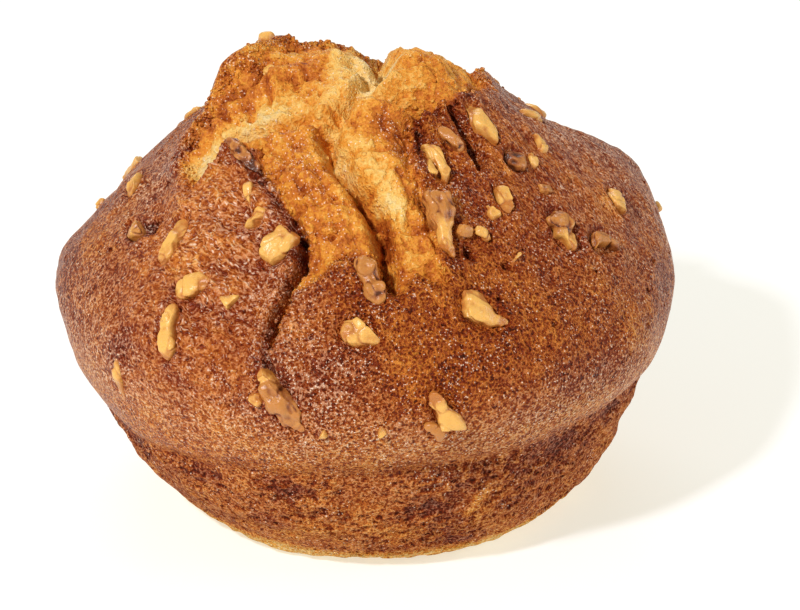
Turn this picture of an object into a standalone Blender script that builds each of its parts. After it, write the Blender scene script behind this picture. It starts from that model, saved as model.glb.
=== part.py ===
"""Walnut cake: a round cake with sloping tin-baked sides, a domed crust that has burst open at the
crown, and chopped walnuts baked into the crust.

Frame: metres, +Z up, the origin at the middle of the flat base, -Y towards the side that is seen.
The surface is charted by rho, the distance walked from the crown down the side, and a bearing. The
chart's flat coordinates are u = rho * cos(bearing) to the right and v = rho * sin(bearing) to the
back, in millimetres, so a fissure or a walnut is placed as if it were drawn on the crust.
"""

import math

import bmesh
import bpy
import numpy as np
from mathutils import Matrix, Vector

MM = 0.001

# Driving sizes, in millimetres
BASE_RADIUS = 41.8
SHOULDER_RADIUS = 60.6
SHOULDER_HEIGHT = 30.5
RIM_RADIUS = 65.0
RIM_HEIGHT = 44.0
CROWN_HEIGHT = 95.5
BASE_EDGE = 2.0
SHOULDER_TILT = 3.3
BASE_SHIFT = 1.2

# The dome between the crown and the rim: share of the rim's radius, share of the rise above the rim
DOME = (
    (0.0, 1.0),
    (0.09, 0.995),
    (0.19, 0.97),
    (0.34, 0.893),
    (0.48, 0.777),
    (0.615, 0.63),
    (0.755, 0.474),
    (0.892, 0.303),
    (0.962, 0.18),
    (0.994, 0.08),
)

# Fissures through the crust: knots of (u, v, half width, depth)
MAIN_FISSURE = (
    (8, 44, 0.8, 1.0),
    (5, 33, 2.2, 4.0),
    (1, 22, 3.2, 6.5),
    (2, 10, 3.8, 7.5),
    (3.5, -2, 3.2, 5.2),
    (1, -11, 2.6, 4.6),
    (-5, -18, 2.6, 4.8),
    (-8.2, -25, 2.8, 5.4),
    (-6.8, -31, 2.8, 5.6),
    (-2.4, -38, 2.6, 6.0),
    (2.6, -45, 2.6, 6.4),
    (5.6, -54, 2.6, 6.4),
    (7, -61, 1.0, 1.5),
)
LEFT_FISSURE = (
    (-41, -27, 1.2, 1.6),
    (-36.5, -23, 2.2, 4.0),
    (-32, -18.5, 2.8, 4.8),
    (-26, -18, 2.4, 4.0),
    (-21, -19.8, 1.9, 3.4),
    (-15, -20.4, 1.8, 3.2),
    (-8, -19.4, 2.0, 3.4),
)
PLATE_FISSURE = (
    (-24, -29, 0.9, 0.8),
    (-20.4, -36.5, 0.9, 1.2),
    (-16.2, -42.5, 1.0, 1.8),
    (-14.2, -49, 1.2, 2.2),
    (-14.2, -54, 1.2, 2.4),
    (-17.6, -60, 1.2, 2.2),
    (-21.2, -66, 1.0, 1.8),
    (-22.6, -75, 0.9, 0.6),
)
BROW_FISSURE = (
    (-4, -15.5, 1.4, 2.8),
    (2, -17, 1.8, 4.2),
    (9, -17.6, 1.7, 4.0),
    (15, -18, 1.2, 2.0),
)
STICK_FISSURE = (
    (15.5, -13, 0.8, 1.0),
    (17.5, -16, 1.6, 2.4),
    (20.5, -18.8, 1.8, 3.2),
    (23.3, -21.5, 1.6, 3.4),
    (25, -25.5, 1.4, 3.4),
    (25.4, -29, 0.6, 0.8),
)
BACK_FISSURE = (
    (4, 24, 1.8, 4.0),
    (14, 31, 2.2, 5.0),
    (26, 36, 1.8, 3.5),
    (38, 44, 0.7, 1.0),
)
RIGHT_FISSURE = (
    (39, -35, 0.6, 0.8),
    (45, -36.5, 0.9, 1.6),
    (51, -39, 0.5, 0.6),
)
FISSURES = (
    MAIN_FISSURE,
    LEFT_FISSURE,
    PLATE_FISSURE,
    BROW_FISSURE,
    STICK_FISSURE,
    BACK_FISSURE,
    RIGHT_FISSURE,
)

# Where the crust has torn away from the crumb: an outline on the chart
TORN_OUTLINE = (
    (-39.5, -28), (-36, -27), (-32, -23.8), (-28.4, -20), (-24.5, -24), (-21.5, -31), (-18.5, -38),
    (-15, -44), (-14.5, -52), (-17.5, -58), (-21, -64), (-23, -72), (-20, -66), (-16, -60), (-11, -57.5),
    (-5, -54.5), (2, -54), (5, -61), (8.5, -61), (12, -57), (18, -58), (16.5, -49), (13, -42),
    (10.5, -34), (10, -25), (12, -20.5), (17, -14), (24, -6), (28, 4), (24, 13), (26, 24),
    (37, 36), (40, 45), (30, 41), (19, 37), (11, 36), (9, 46), (5, 38), (-1, 27), (-8, 15),
    (-14, 8), (-18, 0), (-22, -4.5), (-28, -5), (-35, -5.4), (-41, -7), (-42.5, -13), (-41, -20),
)

# Swellings of the dome: (u, v, half length, half width, bearing of the length in degrees, height)
SWELLINGS = (
    (-22, -1, 12, 7.5, 8, 7.2),
    (-27, 18, 12, 8, 30, -2.2),
    (-36, 3, 7, 7, 60, -1.4),
    (-12, -37, 18, 6.5, -55, 3.2),
    (4, -34, 17, 7, -62, 4.0),
    (3, -21, 6, 5, 0, 2.0),
    (10, -6, 11, 9, 20, 4.4),
    (12, 12, 10, 8, 30, 1.6),
    (31, 6, 9, 8, 60, -2.2),
    (-33, -38, 20, 14, 60, 1.8),
    (64, 24, 22, 15, 110, 5.2),
    (88, -28, 18, 11, 90, -1.8),
    (-84, 2, 16, 10, 90, 1.4),
    (-73, 22, 16, 11, 115, -2.8),
    (44, 24, 12, 8, 35, -2.0),
    (0, 30, 12, 9, 90, -1.8),
    (30, -75, 30, 12, 0, 0.6),
)

# Walnut pieces as large as a berry: (u, v, length, width, height, bearing in degrees, bend, waist).
# The bend curves a piece sideways and the waist thins its middle, both as shares of its width.
WALNUTS = (
    (-44.5, -38, 10.6, 4.6, 4.6, 48, 0.10, 0.25),
    (-23.8, -41.6, 6.8, 3.2, 3.4, 40, 0.00, 0.00),
    (-19.3, -49, 9.2, 6.2, 5.0, 37, -0.20, 0.10),
    (-40, -51.6, 8.2, 4.8, 3.6, 4, 0.00, 0.00),
    (-47, -58.6, 11.0, 4.8, 4.8, -108, 0.10, 0.20),
    (-1.5, -69.6, 9.2, 5.8, 4.4, -22, -0.05, 0.00),
    (27.6, -61.2, 11.6, 6.6, 4.4, -10, 0.45, 0.10),
    (21.2, -83.8, 12.0, 5.4, 5.0, -46, 0.10, 0.20),
    (-21.2, -81.2, 15.4, 5.0, 5.2, -69, 0.00, 0.10),
    (-68.5, -57.8, 9.0, 2.8, 3.4, -138, 0.00, 0.00),
    (15.6, -31.2, 9.8, 4.8, 4.4, -54, -0.35, 0.10),
    (17.4, -44.6, 16.0, 6.2, 5.4, -67, 0.10, 0.25),
    (24.6, -16.2, 11.4, 3.8, 4.4, -42, 0.00, 0.00),
    (31.6, -33.2, 6.4, 4.0, 4.2, -49, 0.25, 0.10),
    (33.5, -21.2, 5.2, 4.8, 4.2, 20, 0.00, 0.00),
    (60.8, -9.4, 7.8, 4.6, 4.0, -62, 0.00, 0.00),
    (-25.6, -26.4, 12.0, 2.4, 3.0, -64, 0.00, 0.00),
    (1.7, -59.0, 9.8, 4.4, 4.6, -65, 0.00, 0.30),
    (47.2, -33, 9.4, 6.0, 4.6, -37, 0.10, 0.25),
    (57.4, -28.6, 9.0, 5.6, 4.2, 36, -0.35, 0.10),
    (-55.2, -26, 7.4, 3.2, 3.8, -73, 0.00, 0.00),
    (-57, -5.2, 7.2, 3.2, 3.8, -108, 0.25, 0.10),
    (38.6, 4, 6.4, 4.4, 4.2, 40, 0.00, 0.00),
    (-30, 12, 7.4, 5.4, 4.6, 20, 0.10, 0.25),
    (16, 30, 9.2, 5.6, 5.0, 15, 0.10, 0.25),
    (-14, 33, 11.0, 6.0, 5.0, 120, 0.45, 0.10),
    (-42, 26, 8.2, 5.0, 4.6, 60, -0.20, 0.10),
    (-62, 30, 9.6, 4.8, 4.8, 140, 0.10, 0.25),
    (-33, 52, 10.8, 5.6, 5.2, 100, -0.35, 0.10),
    (-8, 58, 8.0, 5.2, 4.6, 20, -0.05, 0.00),
    (20, 50, 12.0, 5.6, 5.4, 75, 0.00, 0.10),
    (42, 44, 7.6, 5.0, 4.6, 130, 0.00, 0.00),
    (64, 38, 9.0, 5.2, 4.8, 45, 0.25, 0.10),
    (44, 64, 9.8, 5.0, 5.0, 115, 0.10, 0.25),
    (8, 80, 10.6, 5.2, 5.0, 160, 0.10, 0.20),
    (-26, 76, 7.8, 5.0, 4.4, 70, -0.05, 0.00),
)
WALNUT_SINK = 0.42
WALNUT_GAP = 0.45

# Walnut bits too small to be pieces of their own: (u, v, length, width, bearing in degrees)
BITS = (
    (-31.6, -58.1, 5.0, 3.6, -3),
    (37.8, -18.1, 4.4, 2.8, -58),
    (40.1, -9.2, 5.0, 2.8, -50),
    (26.8, -44, 3.8, 2.6, -10),
    (41.5, -24.5, 3.4, 2.6, 20),
    (-19.5, -3.4, 3.8, 2.8, 30),
    (-19, 6, 4.0, 3.0, 30),
    (76, 24, 3.6, 2.6, 80),
    (-4, 46, 4.4, 3.0, 50),
    (30, 72, 4.0, 3.0, 120),
    (-50, 46, 4.6, 3.2, 10),
    (-70, 12, 3.4, 2.6, 60),
    (30, 27, 3.8, 2.8, 100),
    (56, 48, 4.4, 3.2, 30),
    (-14, 90, 3.8, 2.8, 75),
)
BIT_HEIGHT = 2.8
BIT_SINK = 0.5

# Detail of the solids
CAKE_GRID = 56
CAKE_TRIANGLES = 7000
WALNUT_GRID = 3
BIT_GRID = 2


# ---------------------------------------------------------------- lines and noise


def smooth_line(points, steps=24):
    """A dense Catmull-Rom line through the points."""
    p = np.array(points, float)
    p = np.vstack([2 * p[0] - p[1], p, 2 * p[-1] - p[-2]])
    t = np.linspace(0, 1, steps, endpoint=False)[:, None]
    runs = [
        0.5 * (2 * b + (c - a) * t + (2 * a - 5 * b + 4 * c - d) * t**2 + (3 * b - a - 3 * c + d) * t**3)
        for a, b, c, d in zip(p, p[1:], p[2:], p[3:])
    ]
    return np.vstack([*runs, p[-2:-1]])


def ease(x):
    """0 below 0, 1 above 1, smooth between."""
    x = np.clip(x, 0, 1)
    return x * x * (3 - 2 * x)


def lattice(cells, seed):
    """A repeatable number from -1 to 1 for each whole-number cell."""
    n = cells.astype(np.int64)
    h = n[..., 0] * 73856093 ^ n[..., 1] * 19349663 ^ n[..., 2] * 83492791 ^ (seed * 2654435761)
    h = (h ^ (h >> 13)) * 1274126177 & 0xFFFFFFFF
    h = (h ^ (h >> 16)) * 2246822519 & 0xFFFFFFFF
    return (h ^ (h >> 15)) % 65536 / 32767.5 - 1


def lumps(points, size, seed):
    """Smooth noise from about -1 to 1, whose lumps are about this size in millimetres."""
    q = points / size + 100.0
    cell = np.floor(q)
    f = q - cell
    f = f * f * (3 - 2 * f)
    total = np.zeros(len(points))
    for corner in range(8):
        step = np.array([corner & 1, corner >> 1 & 1, corner >> 2 & 1])
        share = np.prod(np.where(step == 1, f, 1 - f), axis=1)
        total += share * lattice(cell + step, seed)
    return total


# ---------------------------------------------------------------- the chart and its profile


def profile_table():
    """(rho, radius, height) down the smooth profile, from the crown to the middle of the base."""
    dome = [(share * RIM_RADIUS, RIM_HEIGHT + rise * (CROWN_HEIGHT - RIM_HEIGHT)) for share, rise in DOME]
    side = [
        (RIM_RADIUS, RIM_HEIGHT),
        (RIM_RADIUS - 1.0, RIM_HEIGHT - 5.5),
        (SHOULDER_RADIUS + 1.5, SHOULDER_HEIGHT + 3.0),
        (SHOULDER_RADIUS, SHOULDER_HEIGHT),
        ((SHOULDER_RADIUS + BASE_RADIUS) / 2 + 2.6, SHOULDER_HEIGHT / 2),
        (BASE_RADIUS + 5.6, 3.2 * BASE_EDGE),
        (BASE_RADIUS + 1.2, 0.7 * BASE_EDGE),
        (BASE_RADIUS - BASE_EDGE, 0.0),
    ]
    line = smooth_line(dome + side)
    line = np.vstack([line, [(0.0, 0.0)]])
    line[:, 1] = np.maximum(line[:, 1], 0)
    rho = np.concatenate([[0], np.cumsum(np.hypot(*np.diff(line, axis=0).T))])
    return rho, line[:, 0], line[:, 1]


RHO, RADIUS, HEIGHT = profile_table()
RHO_BASE = float(RHO[-2])
RHO_SHOULDER = float(RHO[np.argmin(np.abs(RADIUS - SHOULDER_RADIUS) + np.abs(HEIGHT - SHOULDER_HEIGHT))])
RHO_RIM = float(RHO[np.argmax(RADIUS)])


def smooth_point(rho, bearing):
    """Points and outward normals of the smooth body, before its relief."""
    radius, height = np.interp(rho, RHO, RADIUS), np.interp(rho, RHO, HEIGHT)
    step = 1.5
    before, after = np.maximum(rho - step, 0), np.minimum(rho + step, RHO[-1])
    across = np.interp(after, RHO, RADIUS) - np.interp(before, RHO, RADIUS)
    down = np.interp(before, RHO, HEIGHT) - np.interp(after, RHO, HEIGHT)
    length = np.hypot(across, down)
    out, up = down / length, across / length
    c, s = np.cos(bearing), np.sin(bearing)
    return np.stack([radius * c, radius * s, height], 1), np.stack([out * c, out * s, up], 1)


def nearest(line, u, v):
    """Distance from each point to a line of knots, and the knots' other columns there."""
    knots = smooth_line(line, 6)
    best = np.full(len(u), 1e9)
    found = np.zeros((len(u), knots.shape[1] - 2))
    for a, b in zip(knots, knots[1:]):
        d = b[:2] - a[:2]
        t = np.clip(((u - a[0]) * d[0] + (v - a[1]) * d[1]) / max(d @ d, 1e-9), 0, 1)
        away = np.hypot(u - a[0] - t * d[0], v - a[1] - t * d[1])
        closer = away < best
        best[closer] = away[closer]
        found[closer] = (a[2:] + t[closer, None] * (b[2:] - a[2:]))
    return best, found


def inside(outline, u, v):
    """Signed distance to a closed outline, positive inside it."""
    ring = np.array(outline, float)
    best, odd = np.full(len(u), 1e9), np.zeros(len(u), bool)
    for a, b in zip(ring, np.roll(ring, -1, axis=0)):
        d = b - a
        t = np.clip(((u - a[0]) * d[0] + (v - a[1]) * d[1]) / (d @ d), 0, 1)
        best = np.minimum(best, np.hypot(u - a[0] - t * d[0], v - a[1] - t * d[1]))
        spans = (a[1] > v) != (b[1] > v)
        odd ^= spans & (u < d[0] * (v - a[1]) / (d[1] if d[1] else 1e-9) + a[0])
    return np.where(odd, best, -best)


def turned(u, v, place, bearing):
    """Chart coordinates about a place, along and across a bearing in degrees."""
    a = math.radians(bearing)
    du, dv = u - place[0], v - place[1]
    return du * math.cos(a) + dv * math.sin(a), dv * math.cos(a) - du * math.sin(a)


# ---------------------------------------------------------------- the relief


def torn_mask(u, v, points):
    """1 where the crust has torn away, 0 on whole crust, with a ragged border."""
    ragged = 1.1 * lumps(points, 5.0, 11) + 0.6 * lumps(points, 2.2, 12)
    return ease((inside(TORN_OUTLINE, u, v) + ragged) / 1.6 + 0.5)


def swelling_height(u, v):
    total = np.zeros(len(u))
    for cu, cv, length, width, bearing, height in SWELLINGS:
        along, across = turned(u, v, (cu, cv), bearing)
        total += height * np.exp(-((along / length) ** 2) - (across / width) ** 2)
    return total


def fissure_depth(u, v, points):
    wander = 0.9 * lumps(points, 4.5, 21) + 0.5 * lumps(points, 2.0, 22)
    deepest = np.zeros(len(u))
    for line in FISSURES:
        away, knots = nearest(line, u, v)
        width, depth = knots[:, 0], knots[:, 1]
        deepest = np.maximum(deepest, depth * (1 - ease((away + wander * 0.7) / (width * 1.5))))
    return deepest


def socket_depth(u, v):
    """The shallow socket that each walnut lies in, with the crust risen round it."""
    total = np.zeros(len(u))
    for cu, cv, length, width, height, bearing, _bend, _waist in WALNUTS:
        along, across = turned(u, v, (cu, cv), bearing)
        away = np.hypot(along / (length * 0.56), across / (width * 0.6))
        total += 0.22 * height * (1 - ease((away - 0.65) / 0.5))
        total -= 0.35 * np.exp(-(((away - 1.35) / 0.25) ** 2))
    return total


def dome_relief(u, v, points):
    torn = torn_mask(u, v, points)
    edge = np.exp(-((inside(TORN_OUTLINE, u, v) + 2.5) / 3.2) ** 2) * (1 - torn)
    relief = swelling_height(u, v) - fissure_depth(u, v, points) - socket_depth(u, v)
    relief += 1.1 * edge - 1.7 * torn
    relief += 0.8 * lumps(points, 14.0, 31) + (0.35 + 0.35 * torn) * lumps(points, 5.0, 32)
    crags = 1 - np.abs(lumps(points * np.array([1.5, 0.9, 0.9]), 4.2, 33))
    return relief + torn * 0.9 * (crags - 0.6)


def side_relief(points, rho, bearing):
    """Level wrinkles and pits where the batter baked against the tin, and the fold under the rim."""
    fold_rho = RHO_SHOULDER + 1.5 - SHOULDER_TILT * np.cos(bearing)
    level = points * np.array([0.35, 0.35, 1.4])
    wrinkles = 0.35 * lumps(level, 3.2, 41) + 0.45 * lumps(level, 7.0, 42)
    fold = -0.9 * np.exp(-(((rho - fold_rho) / 1.6) ** 2))
    tilt = -1.2 * np.cos(bearing) * np.exp(-(((rho - fold_rho) / 12) ** 2))
    return wrinkles + fold + tilt + 0.8 * lumps(points, 20.0, 43)


def cake_points(directions):
    """The cake's surface for unit directions spread over a sphere."""
    bearing = np.arctan2(directions[:, 1], directions[:, 0])
    area = np.concatenate([[0], np.cumsum(np.diff(RHO) * (RADIUS[1:] + RADIUS[:-1]) / 2)])
    rho = np.interp((1 - directions[:, 2]) / 2, area / area[-1], RHO)
    points, normals = smooth_point(rho, bearing)
    u, v = rho * np.cos(bearing), rho * np.sin(bearing)
    on_dome = 1 - ease((rho - RHO_RIM + 6) / 16)
    on_side = ease((rho - RHO_RIM - 2) / 12) * (1 - ease((rho - RHO_BASE + 5) / 4.5))
    relief = on_dome * dome_relief(u, v, points) + on_side * side_relief(points, rho, bearing)
    points = points + normals * relief[:, None]
    points[:, 0] += BASE_SHIFT * (1 - ease(points[:, 2] / RIM_HEIGHT))
    return points


def on_chart(u, v):
    """The surface point at a chart place and a frame there: right, back and outwards."""
    rho = np.array([math.hypot(u, v), math.hypot(u, v) + 0.5])
    bearing = np.full(2, math.atan2(v, u))
    points, normals = smooth_point(rho, bearing)
    relief = dome_relief(np.array([u, u]), np.array([v, v]), points[[0, 0]])[0]
    outward = Vector(normals[0])
    down = Vector(points[1] - points[0]).normalized()
    level = outward.cross(down)
    a = math.atan2(v, u)
    right = (down * math.cos(a) - level * math.sin(a)).normalized()
    back = outward.cross(right)
    return Vector(points[0] + normals[0] * relief), right, back, outward


# ---------------------------------------------------------------- meshes


def ball_directions(grid):
    """A cube whose sides are split into a grid, blown up to a sphere: a mesh with no poles."""
    mesh = bmesh.new()
    bmesh.ops.create_cube(mesh, size=2.0)
    bmesh.ops.subdivide_edges(mesh, edges=mesh.edges[:], cuts=grid - 1, use_grid_fill=True)
    for vertex in mesh.verts:
        for axis in range(3):
            vertex.co[axis] = math.tan(vertex.co[axis] * math.pi / 4)
        vertex.co.normalize()
    return mesh


def move_vertices(mesh, function):
    """Gives every vertex the place that function makes from its direction, in metres."""
    directions = np.array([vertex.co for vertex in mesh.verts])
    for vertex, place in zip(mesh.verts, function(directions)):
        vertex.co = place * MM


def new_object(name, mesh, collection, material):
    data = bpy.data.meshes.new(name)
    bmesh.ops.recalc_face_normals(mesh, faces=mesh.faces[:])
    mesh.to_mesh(data)
    mesh.free()
    data.shade_smooth()
    data.materials.append(material)
    made = bpy.data.objects.new(name, data)
    collection.objects.link(made)
    return made


def new_material(name, colour, roughness):
    material = bpy.data.materials.new(name)
    material.use_nodes = True
    shader = material.node_tree.nodes["Principled BSDF"]
    shader.inputs["Base Color"].default_value = (*colour, 1)
    shader.inputs["Roughness"].default_value = roughness
    shader.inputs["Metallic"].default_value = 0
    return material


def applied(thing):
    """Gives a thing the mesh that its modifiers make, and takes them off."""
    graph = bpy.context.evaluated_depsgraph_get()
    thing.data = bpy.data.meshes.new_from_object(thing.evaluated_get(graph))
    thing.modifiers.clear()
    return thing


def make_cake(collection):
    mesh = ball_directions(CAKE_GRID)
    move_vertices(mesh, cake_points)
    cake = new_object("cake", mesh, collection, new_material("baked_crust", (0.33, 0.13, 0.04), 0.5))
    thin = cake.modifiers.new("thin", "DECIMATE")
    thin.ratio = CAKE_TRIANGLES / (12 * CAKE_GRID**2)
    return applied(cake)


def cake_surface_cutter(cake, cutters):
    """The cake swollen by the gap that the walnuts keep to it, straight out from its smooth body."""
    swollen = cake.data.copy()
    places = np.array([vertex.co for vertex in swollen.vertices]) / MM
    radius = np.hypot(places[:, 0], places[:, 1])
    away = np.hypot(radius[:, None] - RADIUS, places[:, 2, None] - HEIGHT)
    rho = RHO[np.argmin(away, axis=1)]
    normals = smooth_point(rho, np.arctan2(places[:, 1], places[:, 0]))[1]
    for vertex, place in zip(swollen.vertices, places + normals * WALNUT_GAP):
        vertex.co = place * MM
    cutter = bpy.data.objects.new("cake_surface_cutter", swollen)
    cutters.objects.link(cutter)
    cutter.hide_render = True
    cutter.display_type = "WIRE"
    return cutter


def kernel_form(directions, size, bend, waist, seed):
    """A chopped walnut kernel about its middle: lobed, a little bent, thinner at its waist."""
    length, width, height = size
    form = np.sign(directions) * np.abs(directions) ** 0.8 * np.array([length, width, height]) / 2
    form *= 1 + 0.2 * lumps(form, 0.55 * width, seed)[:, None]
    along = form[:, 0] / length * 2
    form[:, 1:] *= 1 - waist * np.exp(-((along / 0.4) ** 2))[:, None]
    form[:, 1] += bend * width * (along**2 - 0.4)
    return form


def make_kernel(name, place_on_chart, size, bearing, sink, form, grid, collection, material):
    """A kernel let into the crust at a chart place, by its sink's share of its height."""
    place, right, back, outward = on_chart(*place_on_chart)
    frame = Matrix((right, back, outward)).transposed().to_4x4()
    mesh = ball_directions(grid)
    move_vertices(mesh, lambda directions: kernel_form(directions, size, *form))
    kernel = new_object(name, mesh, collection, material)
    middle = place + outward * size[2] * (0.5 - sink)
    turn = Matrix.Rotation(math.radians(bearing), 4, "Z")
    kernel.matrix_world = Matrix.Translation(middle * MM) @ frame @ turn
    return kernel


def make_walnut(index, collection, material, cutter):
    u, v, length, width, height, bearing, bend, waist = WALNUTS[index]
    walnut = make_kernel(
        f"walnut_{index + 1:02d}",
        (u, v),
        (length, width, height),
        bearing,
        WALNUT_SINK,
        (bend, waist, 60 + index),
        WALNUT_GRID,
        collection,
        material,
    )
    trim = walnut.modifiers.new("trim", "BOOLEAN")
    trim.operation = "DIFFERENCE"
    trim.object = cutter
    trim.solver = "MANIFOLD"
    return walnut


def fuse_bits(cake):
    """Joins the small walnut bits to the crust in one union."""
    bits = bpy.data.collections.new("walnut_bits")
    bpy.context.scene.collection.children.link(bits)
    for index, (u, v, length, width, bearing) in enumerate(BITS):
        size = (length, width, BIT_HEIGHT)
        form = (0.0, 0.0, 120 + index)
        make_kernel(f"bit_{index}", (u, v), size, bearing, BIT_SINK, form, BIT_GRID, bits, cake.active_material)
    fuse = cake.modifiers.new("fuse", "BOOLEAN")
    fuse.operation = "UNION"
    fuse.operand_type = "COLLECTION"
    fuse.solver = "MANIFOLD"
    fuse.collection = bits
    applied(cake)
    for bit in list(bits.objects):
        bpy.data.objects.remove(bit)
    bpy.data.collections.remove(bits)


def main():
    for old in list(bpy.data.objects):
        bpy.data.objects.remove(old)
    parts = bpy.data.collections.new("walnut_cake")
    cutters = bpy.data.collections.new("cutters")
    for collection in (parts, cutters):
        bpy.context.scene.collection.children.link(collection)
    cake = make_cake(parts)
    cutter = cake_surface_cutter(cake, cutters)
    fuse_bits(cake)
    kernel = new_material("walnut_kernel", (0.62, 0.38, 0.14), 0.45)
    for index in range(len(WALNUTS)):
        make_walnut(index, parts, kernel, cutter)


main()
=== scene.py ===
"""Walnut cake: its baked crust, torn crumb, walnuts and loose crumbs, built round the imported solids.

Lengths are in millimetres unless a name says otherwise. The crust is charted as in the solids: rho is
the distance walked from the crown down the side, u = rho * cos(bearing) runs to the right and v = rho
* sin(bearing) to the back.
"""

import math

import bpy
import numpy as np
from mathutils import Matrix, Vector


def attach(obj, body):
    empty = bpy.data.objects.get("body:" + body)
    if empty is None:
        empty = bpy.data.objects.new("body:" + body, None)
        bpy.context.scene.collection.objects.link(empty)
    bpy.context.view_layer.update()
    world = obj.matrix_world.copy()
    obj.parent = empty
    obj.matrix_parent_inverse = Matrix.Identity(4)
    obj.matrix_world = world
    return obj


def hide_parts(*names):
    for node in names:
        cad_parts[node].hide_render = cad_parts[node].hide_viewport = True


bl_info = {
    "name": "Walnut cake",
    "version": (1, 0, 0),
    "blender": (4, 5, 0),
    "location": "3D View > Sidebar > Walnut cake",
    "description": "A domed walnut cake with a burst crown, baked-in walnuts and a pale stage",
    "category": "Object",
}

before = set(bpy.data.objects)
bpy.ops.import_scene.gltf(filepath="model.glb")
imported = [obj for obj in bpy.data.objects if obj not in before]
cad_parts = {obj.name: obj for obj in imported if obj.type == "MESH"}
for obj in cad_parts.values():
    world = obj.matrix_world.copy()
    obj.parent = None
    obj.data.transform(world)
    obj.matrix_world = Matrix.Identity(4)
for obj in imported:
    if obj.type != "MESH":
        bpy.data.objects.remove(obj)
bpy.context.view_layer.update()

MM = 0.001

# ---------------------------------------------------------------- sizes, as in the solids

BASE_RADIUS = 41.8
SHOULDER_RADIUS = 60.6
SHOULDER_HEIGHT = 30.5
RIM_RADIUS = 65.0
RIM_HEIGHT = 44.0
CROWN_HEIGHT = 95.5
BASE_EDGE = 2.0
SHOULDER_TILT = 3.3
BASE_SHIFT = 1.2

# The dome's profile: (share of the rim's radius, share of the rise from the rim to the crown)
DOME = (
    (0.0, 1.0),
    (0.09, 0.995),
    (0.19, 0.97),
    (0.34, 0.893),
    (0.48, 0.777),
    (0.615, 0.63),
    (0.755, 0.474),
    (0.892, 0.303),
    (0.962, 0.18),
    (0.994, 0.08),
)

# Fissures through the crust: knots of (u, v, half width, depth)
MAIN_FISSURE = (
    (8, 44, 0.8, 1.0),
    (5, 33, 2.2, 4.0),
    (1, 22, 3.2, 6.5),
    (2, 10, 3.8, 7.5),
    (3.5, -2, 3.2, 5.2),
    (1, -11, 2.6, 4.6),
    (-5, -18, 2.6, 4.8),
    (-8.2, -25, 2.8, 5.4),
    (-6.8, -31, 2.8, 5.6),
    (-2.4, -38, 2.6, 6.0),
    (2.6, -45, 2.6, 6.4),
    (5.6, -54, 2.6, 6.4),
    (7, -61, 1.0, 1.5),
)
LEFT_FISSURE = (
    (-41, -27, 1.2, 1.6),
    (-36.5, -23, 2.2, 4.0),
    (-32, -18.5, 2.8, 4.8),
    (-26, -18, 2.4, 4.0),
    (-21, -19.8, 1.9, 3.4),
    (-15, -20.4, 1.8, 3.2),
    (-8, -19.4, 2.0, 3.4),
)
PLATE_FISSURE = (
    (-24, -29, 0.5, 0.8),
    (-21.8, -33, 0.6, 1.2),
    (-20.4, -36.5, 0.5, 1.0),
    (-18.4, -39.5, 0.7, 1.8),
    (-16.2, -42.5, 0.6, 1.6),
    (-15.8, -46, 0.9, 2.6),
    (-13.2, -49, 0.7, 2.0),
    (-14.8, -52.5, 0.9, 3.0),
    (-13.8, -55.5, 0.8, 2.8),
    (-17.6, -58.5, 0.8, 3.0),
    (-17.8, -61.5, 0.5, 1.8),
    (-21.2, -64, 0.7, 2.4),
    (-21, -67.5, 0.5, 1.6),
    (-23.4, -71, 0.5, 1.2),
    (-22.6, -75, 0.4, 0.6),
)
BROW_FISSURE = (
    (-4, -15.5, 1.4, 2.8),
    (2, -17, 1.8, 4.2),
    (9, -17.6, 1.7, 4.0),
    (15, -18, 1.2, 2.0),
)
STICK_FISSURE = (
    (15.5, -13, 0.8, 1.0),
    (17.5, -16, 1.6, 2.4),
    (20.5, -18.8, 1.8, 3.2),
    (23.3, -21.5, 1.6, 3.4),
    (25, -25.5, 1.4, 3.4),
    (25.4, -29, 0.6, 0.8),
)
BACK_FISSURE = (
    (4, 24, 1.8, 4.0),
    (14, 31, 2.2, 5.0),
    (26, 36, 1.8, 3.5),
    (38, 44, 0.7, 1.0),
)
RIGHT_FISSURE = (
    (39, -35, 0.6, 0.8),
    (45, -36.5, 0.9, 1.6),
    (51, -39, 0.5, 0.6),
)
FISSURES = (
    MAIN_FISSURE,
    LEFT_FISSURE,
    PLATE_FISSURE,
    BROW_FISSURE,
    STICK_FISSURE,
    BACK_FISSURE,
    RIGHT_FISSURE,
)

# Where the crust has torn away from the crumb: an outline on the chart
TORN_OUTLINE = (
    (-39.5, -28), (-36, -27), (-32, -23.8), (-28.4, -20), (-24.5, -24), (-21.5, -31), (-18.5, -38),
    (-15, -44), (-14.5, -52), (-17.5, -58), (-21, -64), (-23, -72), (-20, -66), (-16, -60), (-11, -57.5),
    (-5, -54.5), (2, -54), (5, -61), (8.5, -61), (12, -57), (18, -58), (16.5, -49), (13, -42),
    (10.5, -34), (10, -25), (12, -20.5), (17, -14), (24, -6), (28, 4), (24, 13), (26, 24),
    (37, 36), (40, 45), (30, 41), (19, 37), (11, 36), (9, 46), (5, 38), (-1, 27), (-8, 15),
    (-14, 8), (-18, 0), (-22, -4.5), (-28, -5), (-35, -5.4), (-41, -7), (-42.5, -13), (-41, -20),
)

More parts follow.
